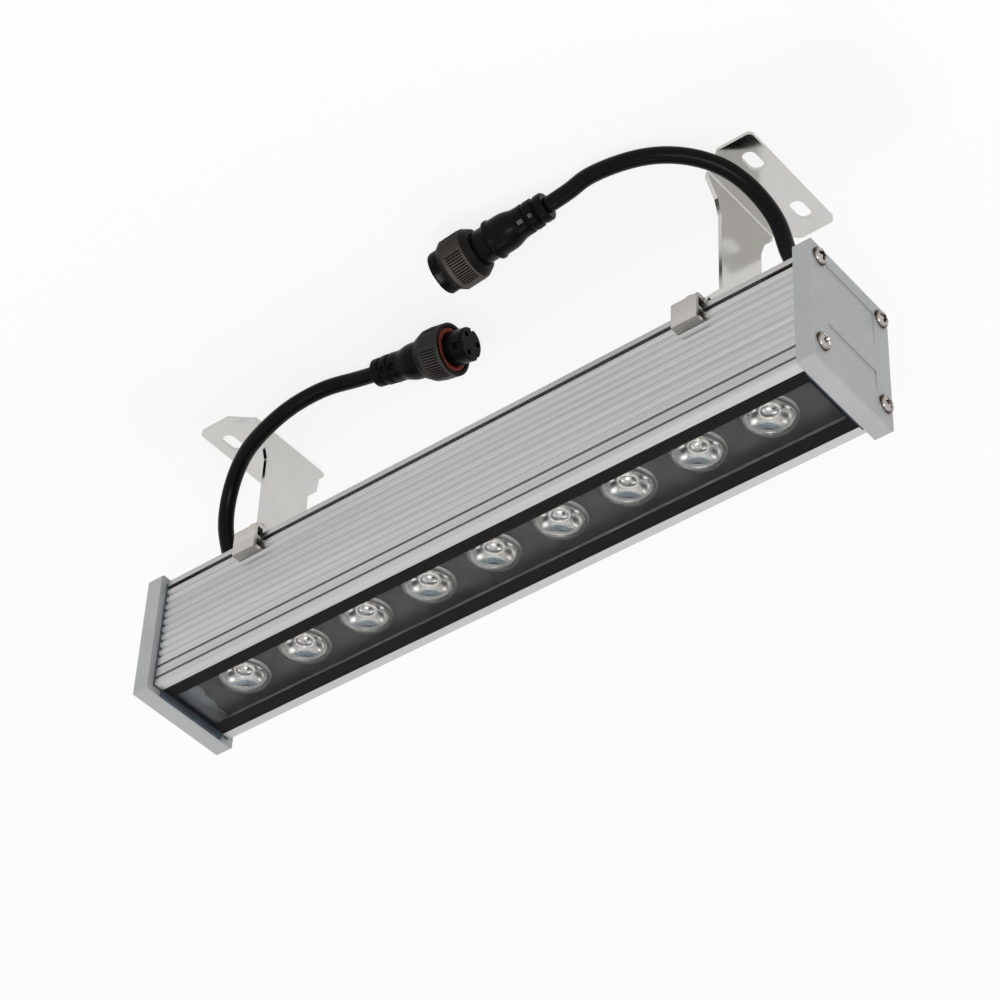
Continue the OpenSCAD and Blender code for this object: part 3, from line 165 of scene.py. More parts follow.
class Look:
    """A Principled material with a few procedural helpers. Coordinates are metres."""

    def __init__(self, name, colour, rough, metallic=0.0, **sockets):
        self.mat = bpy.data.materials.new(name)
        self.mat.use_nodes = True
        self.tree = self.mat.node_tree
        self.shader = self.tree.nodes["Principled BSDF"]
        self.shader.inputs["Base Color"].default_value = (*colour, 1.0)
        self.shader.inputs["Roughness"].default_value = rough
        self.shader.inputs["Metallic"].default_value = metallic
        for key, value in sockets.items():
            self.shader.inputs[key.replace("_", " ")].default_value = value
        self.colour = colour
        self.normal = None

    def node(self, kind, **settings):
        made = self.tree.nodes.new(kind)
        for key, value in settings.items():
            setattr(made, key, value)
        return made

    def link(self, a, b):
        self.tree.links.new(a, b)

    def coords(self, scale, turn=(0, 0, 0), shift=(0, 0, 0)):
        source = self.node("ShaderNodeTexCoord")
        mapping = self.node("ShaderNodeMapping")
        mapping.inputs["Scale"].default_value = scale
        mapping.inputs["Rotation"].default_value = turn
        mapping.inputs["Location"].default_value = shift
        self.link(source.outputs["Object"], mapping.inputs["Vector"])
        return mapping.outputs["Vector"]

    def noise(self, scale, detail=3.0, rough=0.5, distortion=0.0, **place):
        made = self.node("ShaderNodeTexNoise")
        made.inputs["Scale"].default_value = 1.0
        made.inputs["Detail"].default_value = detail
        made.inputs["Roughness"].default_value = rough
        made.inputs["Distortion"].default_value = distortion
        self.link(self.coords(scale, **place), made.inputs["Vector"])
        return made.outputs["Fac"]

    def spread(self, value, low, high, start=0.3, end=0.7):
        made = self.node("ShaderNodeMapRange")
        made.inputs["From Min"].default_value = start
        made.inputs["From Max"].default_value = end
        made.inputs["To Min"].default_value = low
        made.inputs["To Max"].default_value = high
        self.link(value, made.inputs["Value"])
        return made.outputs["Result"]

    def ramp(self, value, stops):
        made = self.node("ShaderNodeValToRGB")
        ramp = made.color_ramp
        while len(ramp.elements) < len(stops):
            ramp.elements.new(0.5)
        for element, (place, colour) in zip(ramp.elements, stops):
            element.position = place
            element.color = (*colour, 1.0)
        self.link(value, made.inputs["Fac"])
        return made.outputs["Color"]

    def tones(self, value, low, high, start=0.3, end=0.7):
        """Base colour from low to high shares of the material's own colour."""
        stops = [(start, [c * low for c in self.colour]), (end, [c * high for c in self.colour])]
        self.link(self.ramp(value, stops), self.shader.inputs["Base Color"])
        return self

    def shine(self, value, low, high, start=0.3, end=0.7):
        self.link(self.spread(value, low, high, start, end), self.shader.inputs["Roughness"])
        return self

    def bump(self, value, depth, strength=1.0):
        """Bump whose full height is depth metres."""
        made = self.node("ShaderNodeBump")
        made.inputs["Strength"].default_value = strength
        made.inputs["Distance"].default_value = depth
        self.link(value, made.inputs["Height"])
        if self.normal is not None:
            self.link(self.normal, made.inputs["Normal"])
        self.normal = made.outputs["Normal"]
        self.link(self.normal, self.shader.inputs["Normal"])
        return self

    def length(self, vector):
        made = self.node("ShaderNodeVectorMath", operation="LENGTH")
        self.link(vector, made.inputs[0])
        return made.outputs["Value"]

    def absolute(self, value):
        made = self.node("ShaderNodeMath", operation="ABSOLUTE")
        self.link(value, made.inputs[0])
        return made.outputs[0]

    def facing(self, way, colour, start, end, both_ways=True):
        """Another colour on faces that look along a fixed direction of the object."""
        source = self.node("ShaderNodeTexCoord")
        dot = self.node("ShaderNodeVectorMath", operation="DOT_PRODUCT")
        self.link(source.outputs["Normal"], dot.inputs[0])
        dot.inputs[1].default_value = way
        value = dot.outputs["Value"]
        if both_ways:
            value = self.absolute(value)
        return self.mix_in(self.spread(value, 0.0, 1.0, start, end), colour)

    def soft_edges(self, radius):
        made = self.node("ShaderNodeBevel", samples=4)
        made.inputs["Radius"].default_value = radius
        self.normal = made.outputs["Normal"]
        self.link(self.normal, self.shader.inputs["Normal"])
        return self

    def mixed(self, a, b, share):
        made = self.node("ShaderNodeMix")
        made.inputs["Factor"].default_value = share
        self.link(a, made.inputs["A"])
        self.link(b, made.inputs["B"])
        return made.outputs["Result"]

    def lens_plane(self):
        """Place in the nearest lens, in millimetres: x across the view, y towards the viewer."""
        source = self.node("ShaderNodeTexCoord")
        split = self.node("ShaderNodeSeparateXYZ")
        self.link(source.outputs["Object"], split.inputs["Vector"])
        values = []
        for axis, shift in (("X", -FIRST_LAMP), ("Y", 0.0)):
            made = self.node("ShaderNodeMath", operation="MULTIPLY_ADD")
            self.link(split.outputs[axis], made.inputs[0])
            made.inputs[1].default_value = 1 / MM
            made.inputs[2].default_value = shift
            values.append(made.outputs[0])
        wrap = self.node("ShaderNodeMath", operation="WRAP")
        self.link(values[0], wrap.inputs[0])
        wrap.inputs[1].default_value = LAMP_PITCH / 2
        wrap.inputs[2].default_value = -LAMP_PITCH / 2
        both = self.node("ShaderNodeCombineXYZ")
        self.link(wrap.outputs[0], both.inputs["X"])
        self.link(values[1], both.inputs["Y"])
        turned_round = self.node("ShaderNodeMapping")
        turned_round.inputs["Rotation"].default_value = (0, 0, LENS_TURN)
        self.link(both.outputs[0], turned_round.inputs["Vector"])
        wander = self.node("ShaderNodeTexNoise")
        wander.inputs["Scale"].default_value = 90.0
        self.link(source.outputs["Object"], wander.inputs["Vector"])
        sway = self.node("ShaderNodeVectorMath", operation="MULTIPLY_ADD")
        self.link(wander.outputs["Color"], sway.inputs[0])
        sway.inputs[1].default_value = (2 * WANDER, 2 * WANDER, 0)
        sway.inputs[2].default_value = (-WANDER, -WANDER, 0)
        total = self.node("ShaderNodeVectorMath", operation="ADD")
        self.link(turned_round.outputs["Vector"], total.inputs[0])
        self.link(sway.outputs[0], total.inputs[1])
        return total.outputs[0]

    def mix_in(self, share, colour, matte=False):
        """Mixes a colour into the base colour by a share, and takes the metal away if matte."""
        base = self.shader.inputs["Base Color"]
        mix = self.node("ShaderNodeMix", data_type="RGBA")
        mix.inputs["B"].default_value = (*colour, 1.0)
        self.link(share, mix.inputs["Factor"])
        self.link(base.links[0].from_socket, mix.inputs["A"])
        self.link(mix.outputs["Result"], base)
        if matte:
            metal = self.shader.inputs["Metallic"]
            less = self.node("ShaderNodeMix")
            less.inputs["A"].default_value = metal.default_value
            if metal.links:
                self.link(metal.links[0].from_socket, less.inputs["A"])
            less.inputs["B"].default_value = 0.15
            self.link(share, less.inputs["Factor"])
            self.link(less.outputs["Result"], metal)
        return self

    def spot(self, plane, centre, size, colour, core=0.3, matte=False):
        """Another colour in an oval of the plane."""
        place = self.node("ShaderNodeMapping")
        place.inputs["Scale"].default_value = (1 / size[0], 1 / size[1], 0)
        place.inputs["Location"].default_value = (-centre[0] / size[0], -centre[1] / size[1], 0)
        self.link(plane, place.inputs["Vector"])
        far = self.length(place.outputs["Vector"])
        return self.mix_in(self.spread(far, 1.0, 0.0, core, 1.0), colour, matte)

    def ring(self, plane, radius, width, colour, matte=False):
        """Another colour in a ring round the plane's centre."""
        off = self.node("ShaderNodeMath", operation="SUBTRACT")
        self.link(self.length(plane), off.inputs[0])
        off.inputs[1].default_value = radius
        share = self.spread(self.absolute(off.outputs[0]), 1.0, 0.0, width * 0.4, width)
        return self.mix_in(share, colour, matte)

    def recess_shade(self, colour, reach, share=1.0, closed_at=0.25, open_at=0.95):
        """Painted shade: darker colour where faces stand close together, such as grooves and recesses.
        """
        made = self.node("ShaderNodeAmbientOcclusion", samples=6)
        made.inputs["Distance"].default_value = reach
        closed = self.spread(made.outputs["AO"], share, 0.0, closed_at, open_at)
        return self.mix_in(closed, colour)


def extruded(name, colour, rough):
    """Aluminium with die lines along X, and painted shade in the grooves."""
    look = Look(name, colour, rough, 1.0).soft_edges(0.00012)
    fine = look.noise((6, 3200, 3200), 4.0, 0.7)
    broad = look.noise((3, 320, 320), 2.0, 0.5)
    both = look.mixed(fine, broad, 0.4)
    look.tones(both, 0.8, 1.12)
    # Painted shade in the grooves and notches.
    look.recess_shade([c * 0.35 for c in colour], 0.0011, 0.8)
    look.shine(both, rough + 0.08, rough - 0.08)
    look.bump(fine, 0.000015, 0.6)
    return look.mat


def painted(name, colour):
    """Fine sandy silver paint."""
    look = Look(name, colour, 0.5, 0.25).soft_edges(0.0002)
    grain = look.noise((3200, 3200, 3200), 2.0, 0.6)
    cloud = look.noise((60, 60, 60), 2.0, 0.5)
    look.tones(look.mixed(grain, cloud, 0.3), 0.86, 1.1, 0.35, 0.65)
    look.shine(grain, 0.42, 0.6)
    look.bump(grain, 0.00004, 0.6)
    return look.mat


def moulded(name, colour, rough, grain_scale=2200, depth=0.000015, level=0.15, edge=0.0002):
    """Plastic or rubber with a fine grain and slow changes of tone and gloss."""
    look = Look(name, colour, rough, 0.0).soft_edges(edge)
    look.shader.inputs["Specular IOR Level"].default_value = level
    grain = look.noise((grain_scale,) * 3, 2.0, 0.6)
    cloud = look.noise((140, 140, 140), 3.0, 0.6)
    look.tones(cloud, 0.8, 1.25)
    look.shine(look.mixed(grain, cloud, 0.5), rough - 0.08, rough + 0.1)
    look.bump(grain, depth, 0.5)
    return look.mat


def sheet(name, colour, rough):
    """Bright rolled sheet with faint rolling lines and slow changes of tone."""
    look = Look(name, colour, rough, 1.0).soft_edges(0.00015)
    lines = look.noise((2400, 30, 30), 4.0, 0.6)
    cloud = look.noise((45, 45, 45), 3.0, 0.55, 0.6)
    look.tones(look.mixed(lines, cloud, 0.6), 0.93, 1.05)
    look.shine(cloud, rough - 0.03, rough + 0.05)
    look.bump(lines, 0.000003, 0.4)
    return look.mat


def turned(name, colour, rough, shade=(0.06, 0.045, 0.035), reach=0.0008):
    """Small metal parts, with painted shade in the recesses."""
    look = Look(name, colour, rough, 1.0).soft_edges(0.00012)
    grain = look.noise((900, 900, 900), 3.0, 0.6)
    look.tones(grain, 0.88, 1.06)
    # Painted shade in the recesses.
    look.recess_shade(shade, reach)
    look.shine(grain, rough - 0.06, rough + 0.08)
    look.bump(grain, 0.000004, 0.3)
    return look.mat


# Painted shade: knurled faces that look this way go darker, as if turned from the light.
SHADED_SIDE = (0.389, -0.82, -0.42)


def knurled(name, colour, rough, way):
    """Grey-brown, with painted shade on one side as if turned from the light and in the grooves, and
    near-black faces square to the plug's way.
    """
    look = Look(name, colour, rough, 0.0).soft_edges(0.0001)
    look.shader.inputs["Specular IOR Level"].default_value = 0.12
    grain = look.noise((1800,) * 3, 2.0, 0.6)
    cloud = look.noise((160, 160, 160), 3.0, 0.6)
    look.tones(look.mixed(grain, cloud, 0.5), 0.6, 1.4)
    # Painted shade on the side turned from the light.
    look.facing(SHADED_SIDE, [c * 0.18 for c in colour], 0.1, 0.85, False)
    # Painted shade in the grooves.
    look.recess_shade([c * 0.04 for c in colour], 0.0016, 1.0, 0.85, 1.0)
    look.facing(way, [c * 0.04 for c in colour], 0.12, 0.4)
    look.shine(grain, rough - 0.08, rough + 0.1)
    look.bump(grain, 0.00002, 0.5)
    return look.mat


# Painted reflection: screw-head faces that look this way go dark brown.
RIM_REFLECTION_SIDE = (0.0, -0.85, -0.52)


def screw_head(name, colour, rough):
    """Bright screw heads: painted brown shade in the recesses, and painted dark brown reflections at
    two ends of the rim.
    """
    look = Look(name, colour, rough, 0.9).soft_edges(0.00008)
    grain = look.noise((900, 900, 900), 3.0, 0.6)
    look.tones(grain, 0.75, 1.15)
    # Painted dark brown reflections at two ends of the rim.
    look.facing(RIM_REFLECTION_SIDE, (0.055, 0.035, 0.026), 0.35, 0.75)
    # Painted brown shade in the recess and round the rim.
    look.recess_shade((0.05, 0.028, 0.02), 0.0018, 1.0, 0.3, 0.85)
    look.shine(grain, rough - 0.05, rough + 0.1)
    look.bump(grain, 0.00001, 0.4)
    return look.mat


def pane(name):
    """Clear sheet: see-through, with the gloss of a flat pane."""
    look = Look(name, (0.965, 0.965, 0.96), 0.02, 0.0)
    look.shader.inputs["IOR"].default_value = 1.1
    look.shader.inputs["Transmission Weight"].default_value = 1.0
    smear = look.noise((40, 40, 40), 2.0, 0.5)
    look.shine(smear, 0.0, 0.03)
    return look.mat


def clear_resin(name, colour, rough):
    """Clear moulded resin with faint ripples."""
    look = Look(name, colour, rough, 0.0)
    look.shader.inputs["IOR"].default_value = 1.49
    look.shader.inputs["Transmission Weight"].default_value = 1.0
    ripple = look.noise((420, 420, 420), 2.0, 0.5)
    look.shine(ripple, rough, rough + 0.05)
    look.bump(ripple, 0.00003, 0.3)
    return look.mat


def lens_bowl(name):
    """Silvery bowl of a clear lens, with painted highlights and painted dark reflections: the bright
    and dark spots that its cone throws back.
    """
    look = Look(name, (0.4, 0.392, 0.378), 0.2, 0.7)
    fine = look.noise((900, 900, 900), 2.0, 0.5)
    look.tones(fine, 0.72, 1.22)
    plane = look.lens_plane()
    # Mostly painted highlights and painted dark reflections, in rings and spots of each lens.
    look.ring(plane, 7.5, 0.7, (0.22, 0.22, 0.215))
    look.ring(plane, 3.5, 0.6, (0.45, 0.435, 0.41), True)
    look.spot(plane, (0.2, -4.6), (4.2, 1.4), (0.36, 0.36, 0.355), 0.3, True)
    look.spot(plane, (0.2, -5.9), (5.6, 1.25), (0.13, 0.155, 0.175), 0.55)
    look.spot(plane, (0.3, -6.8), (4.0, 0.4), (0.06, 0.07, 0.078))
    look.spot(plane, (-4.95, -1.5), (2.3, 1.9), (0.075, 0.074, 0.072), 0.3)
    look.spot(plane, (5.2, -1.3), (2.2, 1.9), (0.08, 0.079, 0.077), 0.3)
    look.spot(plane, (4.3, 2.8), (0.9, 1.8), (0.1, 0.098, 0.094), 0.3)
    look.spot(plane, (6.9, -0.6), (0.7, 2.2), (0.42, 0.42, 0.41), 0.2, True)
    look.spot(plane, (-5.4, 0.55), (1.1, 0.9), (0.85, 0.85, 0.85), 0.3, True)
    look.spot(plane, (5.7, 3.7), (1.1, 1.3), (0.9, 0.9, 0.9), 0.3, True)
    look.spot(plane, (-4.8, -4.1), (1.6, 1.4), (0.8, 0.8, 0.8), 0.2, True)
    look.spot(plane, (5.4, -3.6), (1.1, 0.9), (0.6, 0.585, 0.56), 0.2, True)
    look.spot(plane, (2.0, -0.6), (1.2, 0.8), (0.85, 0.86, 0.88), 0.3, True)
    look.spot(plane, (-1.9, 0.1), (0.9, 0.7), (0.6, 0.6, 0.6), 0.2, True)
    look.spot(plane, (1.5, 1.3), (0.9, 0.9), (0.04, 0.04, 0.04))
    look.spot(plane, (0.1, -2.2), (2.3, 0.5), (0.09, 0.09, 0.087))
    look.bump(fine, 0.00003, 0.3)
    return look.mat


MATS = {
    "bare_aluminium": extruded("bare_aluminium", (0.52, 0.52, 0.52), 0.34),
    "clip_aluminium": extruded("clip_aluminium", (0.56, 0.54, 0.51), 0.38),
    "cap_paint": painted("cap_paint", (0.4, 0.41, 0.41)),
    "gasket_rubber": moulded("gasket_rubber", (0.05, 0.065, 0.08), 0.7),
    "bright_steel": turned("bright_steel", (0.5, 0.475, 0.45), 0.18, (0.06, 0.034, 0.024), 0.0016),
    "sheet_steel": sheet("sheet_steel", (0.58, 0.57, 0.545), 0.13),
    "clear_glass": pane("clear_glass"),
    "black_band": moulded("black_band", (0.0075, 0.007, 0.007), 0.5, 3000, 0.000005, 0.06),
    "black_rubber": moulded("black_rubber", (0.0025, 0.0025, 0.0025), 0.26, 900, 0.00002, 0.08),
    "plate_grey": moulded("plate_grey", (0.04, 0.04, 0.04), 0.6),
    "lens_clear": clear_resin("lens_clear", (0.9, 0.91, 0.91), 0.01),
    "board_white": moulded("board_white", (0.5, 0.51, 0.5), 0.4, level=0.4),
    "emitter_yellow": moulded("emitter_yellow", (0.75, 0.62, 0.28), 0.3, level=0.5),
    "board_green": moulded("board_green", (0.03, 0.12, 0.06), 0.35, level=0.4),
    "part_black": moulded("part_black", (0.02, 0.02, 0.02), 0.5, level=0.4),
    "plug_black": moulded("plug_black", (0.0028, 0.0028, 0.003), 0.3, level=0.07, edge=0.0002),
    "knurl_grey": knurled("knurl_grey", (0.075, 0.066, 0.057), 0.5, PLUG_ONE_WAY),
    "brass": turned("brass", (0.72, 0.5, 0.2), 0.25),
    "seal_red": moulded("seal_red", (0.155, 0.024, 0.012), 0.45, 1500, 0.00003, 0.3),
}

NUT_GREY = knurled("knurl_grey_two", (0.055, 0.049, 0.044), 0.5, PLUG_TWO_WAY)
# Lighter grey for the slot floors that face the light: a painted highlight.
PAINTED_SLOT_HIGHLIGHT = moulded("slot_floor_highlight", (0.1, 0.1, 0.098), 0.4)
RAIL_GREY = moulded("rail_grey", (0.16, 0.16, 0.155), 0.4, level=0.4)
SCREW_HEAD = screw_head("screw_head", (0.45, 0.42, 0.39), 0.16)
SEALANT = moulded("sealant_grey", (0.088, 0.098, 0.102), 0.45, level=0.3)
FROSTED = clear_resin("lens_frosted", (0.58, 0.58, 0.57), 0.5)
LENS_BOWL = lens_bowl("lens_bowl")

slots = {s["node"]: s["material_slot"] for s in frame["record"]["subparts"]}
for name, obj in NODES.items():
    obj.data.materials.clear()
    obj.data.materials.append(MATS[slots[name]])
for flex in (flex_left, flex_right):
    flex.data.materials.append(MATS["black_rubber"])
NODES["cover_glass"].visible_shadow = False
NODES["coupling_nut"].data.materials[0] = NUT_GREY


# Detail pieces in mesh code, in millimetres

def add_piece(name, form, slot_name, nodes=(), crease=35.0, material=None):
    """A new piece of the lamp, smooth across edges flatter than the crease, in degrees. Its
    material is the slot's own unless another is given."""
    mesh = bpy.data.meshes.new(name)
    mesh.from_pydata([tuple(Vector(v) * MM) for v in form.verts], [], form.faces)
    mesh.materials.append(material or MATS[slot_name])
    work = bmesh.new()
    work.from_mesh(mesh)
    bmesh.ops.recalc_face_normals(work, faces=work.faces)
    for edge in work.edges:
        edge.smooth = edge.calc_face_angle(0.0) < math.radians(crease)
    for face in work.faces:
        face.smooth = True
    work.to_mesh(mesh)
    work.free()
    obj = bpy.data.objects.new(name, mesh)
    bpy.context.scene.collection.objects.link(obj)
    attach(obj, "lamp")
    if nodes:
        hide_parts(*nodes)
    return obj


class Form:
    """Collects the points and faces of one piece."""

    def __init__(self):
        self.verts, self.faces = [], []

    def lathe(self, profile, sides, place, relief=None, closed=False):
        """Turns (radius, height) points about an axis. relief(r, h, a) gives the point's new
        (radius, height), and place(x, y, h) its place. A closed profile makes a ring."""
        rows = []
        for r, h in profile:
            if r < 1e-6:
                rows.append([len(self.verts)])
                self.verts.append(place(0, 0, relief(0, h, 0)[1] if relief else h))
                continue
            rows.append(list(range(len(self.verts), len(self.verts) + sides)))
            for k in range(sides):
                a = 2 * math.pi * k / sides
                rr, hh = relief(r, h, a) if relief else (r, h)
                self.verts.append(place(rr * math.cos(a), rr * math.sin(a), hh))
        pairs = list(zip(rows, rows[1:])) + ([(rows[-1], rows[0])] if closed else [])
        for low, high in pairs:
            for k in range(sides):
                n = (k + 1) % sides
                if len(low) == 1:
                    self.faces.append((low[0], high[k], high[n]))
                elif len(high) == 1:
                    self.faces.append((low[k], low[n], high[0]))
                else:
                    self.faces.append((low[k], low[n], high[n], high[k]))

    def sweep(self, sections):
        """Joins closed sections of equal length, one after another, and caps both ends."""
        start, n = len(self.verts), len(sections[0])
        for section in sections:
            self.verts += section
        for i in range(len(sections) - 1):
            for j in range(n):
                k, m = start + i * n + j, start + i * n + (j + 1) % n
                self.faces.append((k, m, m + n, k + n))
        last = len(self.verts) - n
        self.faces += [tuple(range(start, start + n)), tuple(range(last, last + n))]


def smooth_step(value, low, high):
    t = min(1.0, max(0.0, (value - low) / (high - low)))
    return t * t * (3 - 2 * t)


def dense(profile, step):
    """The same profile with points no further apart than step."""
    made = [profile[0]]
    for (r0, h0), (r1, h1) in zip(profile, profile[1:]):
        parts = max(1, math.ceil(math.hypot(r1 - r0, h1 - h0) / step))
        made += [(r0 + (r1 - r0) * k / parts, h0 + (h1 - h0) * k / parts)
                 for k in range(1, parts + 1)]
    return made


# Lenses: a silvery stepped bowl with a centre ring and dome, and a frosted rim on the plate

PLATE_TOP = 108.0
BOWL_R = 8.35
FLUTES = 30
FLUTE_D = 0.05
RING_R = 3.4
RING_Z = 106.1
RING_WIRE = 0.45
DOME_R = 2.95
DOME_Z = 105.7
DOME_H = 1.1


def bowl_relief(r, h, a):
    """Flutes on the cone of the bowl."""
    depth = smooth_step(r, 4.6, 5.6) * (1 - smooth_step(r, 7.4, 7.9))
    return r, h + FLUTE_D * depth * math.cos(FLUTES * a)


def bowl_profile():
    under = [(0, 104.6), (3.8, 104.6), (BOWL_R, 107.9), (BOWL_R, 108.3), (8.25, 108.45),
             (8.1, 108.45)]
    cone = [(8.0, 108.35), (7.85, 108.25), (6.9, 107.8), (6.85, 107.65), (5.4, 106.95),
            (5.35, 106.85), (4.1, 106.25), (3.87, 106.15)]
    ring = [(RING_R + RING_WIRE * math.cos(t), RING_Z + RING_WIRE * math.sin(t))
            for t in (math.radians(10 + 20 * k) for k in range(9))]
    dome = [(DOME_R * math.cos(t), DOME_Z + DOME_H * math.sin(t))
            for t in (math.radians(9 * k) for k in range(10))]
    return under + dense(cone, 0.3) + ring + dome + [(0, DOME_Z + DOME_H)]


def add_lenses():
    bowls, rims = Form(), Form()
    rim = [(BOWL_R + 0.02, PLATE_TOP + 0.02), (10.0, PLATE_TOP + 0.02), (9.9, 108.3), (9.3, 109.5),
           (9.2, 109.65), (9.1, 109.65), (8.95, 109.4), (8.7, 108.95), (8.62, 108.95),
           (8.4, 108.5)]
    profile = bowl_profile()
    for lamp in range(LAMP_COUNT):
        x = FIRST_LAMP + LAMP_PITCH * lamp
        bowls.lathe(profile, 120, lambda px, py, h, x=x: (x + px, py, h), bowl_relief)
        rims.lathe(rim, 96, lambda px, py, h, x=x: (x + px, py, h), closed=True)
    add_piece("lens_optics", bowls, "lens_clear", ("lenses",), 30, LENS_BOWL)
    add_piece("lens_rims", rims, "lens_clear", ("lenses",), material=FROSTED)


# Cap screws: pan heads with a cross recess

HEAD_R = 3.4
HEAD_H = 2.2
SHANK_R = 1.5
ARM_HALF = 0.62
ARM_REACH = 2.35
RECESS = 1.7
SCREW_Y = 18.2
SCREW_Z = (69.3, 108.5)
CAP_FACE = 150.0
FIRST_TURN = 0.5
TURN_STEP = 0.9


def head_relief(r, h, a):
    """Sinks a cross into the crown of a pan head."""
    if h < HEAD_H * 0.45 or r >= HEAD_R * 0.93:
        return r, h
    x, y = abs(r * math.cos(a)), abs(r * math.sin(a))
    sunk = 0.0
    for out, side in ((x, y), (y, x)):
        wall = 1 - smooth_step(side, ARM_HALF * 0.75, ARM_HALF * 1.25)
        end = 1 - smooth_step(out, ARM_REACH * 0.8, ARM_REACH)
        sunk = max(sunk, wall * end * (1 - 0.35 * out / ARM_REACH))
    return r, h - RECESS * sunk


def add_cap_screws():
    crown = [(HEAD_R * math.sin(t), HEAD_H * (0.3 + 0.7 * math.cos(t)))
             for t in (math.radians(90 - 4.5 * k) for k in range(21))]
    under = [(SHANK_R, -0.5), (SHANK_R, -0.05), (HEAD_R - 0.05, -0.05)]
    for side, word in ((-1, "left"), (1, "right")):
        node = "cap_screws_" + word
        low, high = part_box(node)
        shank = min(abs(low[0]), abs(high[0])) / MM - CAP_FACE
        tip = [(0, shank), (SHANK_R - 0.3, shank), (SHANK_R, shank + 0.4)]
        outline = tip + under + dense(crown, 0.14)
        form = Form()
        turn = FIRST_TURN
        for y in (-SCREW_Y, SCREW_Y):
            for z in SCREW_Z:
                turn += TURN_STEP
                c, s = math.cos(turn), math.sin(turn)
                form.lathe(outline, 96, lambda px, py, h, y=y, z=z, c=c, s=s: (
                    side * (CAP_FACE + h), y + px * c - py * s, z + px * s + py * c), head_relief)
        add_piece("cap_screw_heads_" + word, form, "bright_steel", (node,), 60, SCREW_HEAD)


# Plugs: each is drawn upright on its rear face and then laid down

def laid(at, way):
    """A place function for a plug: its first axis points down, as the CAD's does."""
    across = Vector((0, 0, 1)).cross(way).normalized()
    down = across.cross(way)
    return lambda x, y, h: at + x * down + y * across + h * way


def plug_place(point, at, way):
    """How far along a plug a point lies, how far out, and its turn in degrees."""
    across = Vector((0, 0, 1)).cross(way).normalized()
    down = across.cross(way)
    off = point - at
    x, y = off.dot(down), off.dot(across)
    return off.dot(way), math.hypot(x, y), math.degrees(math.atan2(y, x)) % 360


BOOT_RINGS = [(0, 0), (4.9, 0), (5.4, 0.5), (5.45, 1.8), (5.4, 3.1), (5.0, 3.5), (4.6, 3.75),
              (4.6, 4.25), (5.3, 4.5), (5.7, 4.9), (5.8, 7.3), (5.6, 7.7), (5.1, 7.95), (5.1, 8.35),
              (5.6, 8.6), (5.8, 9.0), (5.8, 12.5), (0, 12.5)]
SLOT_ROWS = ((5.1, 7.4), (9.1, 12.1))
SLOT_TURNS = (40, 130, 220, 310)
LIT_TURN = 220
SLOT_D = 1.1
SLOT_END = 0.35


def boot_relief(r, h, a):
    """Sinks rounded flexing slots into the side of a boot."""
    if r < 5.0:
        return r, h
    turn = math.degrees(a)
    sunk = 0.0
    for low, high in SLOT_ROWS:
        run = smooth_step(h, low, low + SLOT_END) * (1 - smooth_step(h, high - SLOT_END, high))
        for middle in SLOT_TURNS:
            off = abs((turn - middle + 180) % 360 - 180)
            sunk = max(sunk, run * (1 - smooth_step(off, 10, 14)))
    return r - SLOT_D * sunk, h


def add_boot(word, at, way):
    form = Form()
    form.lathe(dense(BOOT_RINGS, 0.25), 144, laid(at, way), boot_relief)
    piece = add_piece("boot_" + word, form, "plug_black", ("plug_" + word + "_boot",), 60)
    piece.data.materials.append(PAINTED_SLOT_HIGHLIGHT)
    # Slot floors on the lit side of this boot get the lighter grey: a painted highlight.
    for face in piece.data.polygons:
        along, out, turn = plug_place(face.center / MM, at, way)
        in_row = any(low + 0.2 < along < high - 0.2 for low, high in SLOT_ROWS)
        if in_row and abs(turn - LIT_TURN) < 11 and 4.0 < out < 4.9:
            face.material_index = 1
    return piece


SHELL_REAR = [(0, 12.5), (5.8, 12.5), (5.85, 13.0), (6.05, 13.9), (6.4, 15.0), (6.75, 16.2),
              (7.0, 17.6), (7.1, 19.2)]
RIDGE = [(7.1, 22.5), (7.35, 22.75), (7.6, 23.1), (7.68, 23.5), (7.68, 23.9), (7.6, 24.3),
         (7.25, 24.65), (6.7, 24.9), (6.55, 25.2)]
BARREL_R = 8.3
BARREL = [(6.55, 31.2), (BARREL_R, 31.2), (BARREL_R, 47.7), (8.05, 48.0), (6.75, 48.0),
          (6.6, 47.85), (6.6, 34.0), (0, 34.0)]
THREAD_FROM = 43.6
THREAD_PITCH = 1.1
THREAD_D = 0.4
FLAT_TURNS = (207, 327, 87)
FLAT_HALF = 2.0
FLAT_D = 0.9
FLAT_AT = 45.0


def barrel_relief(r, h, a):
    """A screw thread with key flats, on the outside of the barrel."""
    if r < 7.9 or h < THREAD_FROM:
        return r, h
    run = (h / THREAD_PITCH - a / (2 * math.pi)) % 1.0
    cut = THREAD_D * max(0.0, 1 - abs(run - 0.5) * 3.2) * smooth_step(h, THREAD_FROM, THREAD_FROM + 0.8)
    for middle in FLAT_TURNS:
        t = a - math.radians(middle)
        if math.cos(t) > 0 and abs(r * math.sin(t)) < FLAT_HALF and h >= FLAT_AT:
            cut = max(cut, r - (BARREL_R - FLAT_D) / math.cos(t))
    return r - cut, h


def add_shell_one():
    form = Form()
    profile = dense(SHELL_REAR + RIDGE, 0.5) + dense(BARREL, 0.14)
    form.lathe(profile, 180, laid(PLUG_ONE_AT, PLUG_ONE_WAY), barrel_relief)
    shell = add_piece("shell_one", form, "plug_black", ("plug_one_shell",), 50)
    # Faces of the first key flat take the grey-brown knurl material: a painted patch of light on the
    # black barrel.
    shell.data.materials.append(MATS["knurl_grey"])
    for face in shell.data.polygons:
        along, out, turn = plug_place(face.center / MM, PLUG_ONE_AT, PLUG_ONE_WAY)
        if 44.6 < along < 47.5 and out > 6.9 and abs(turn - FLAT_TURNS[0]) < 15:
            face.material_index = 1
    return shell


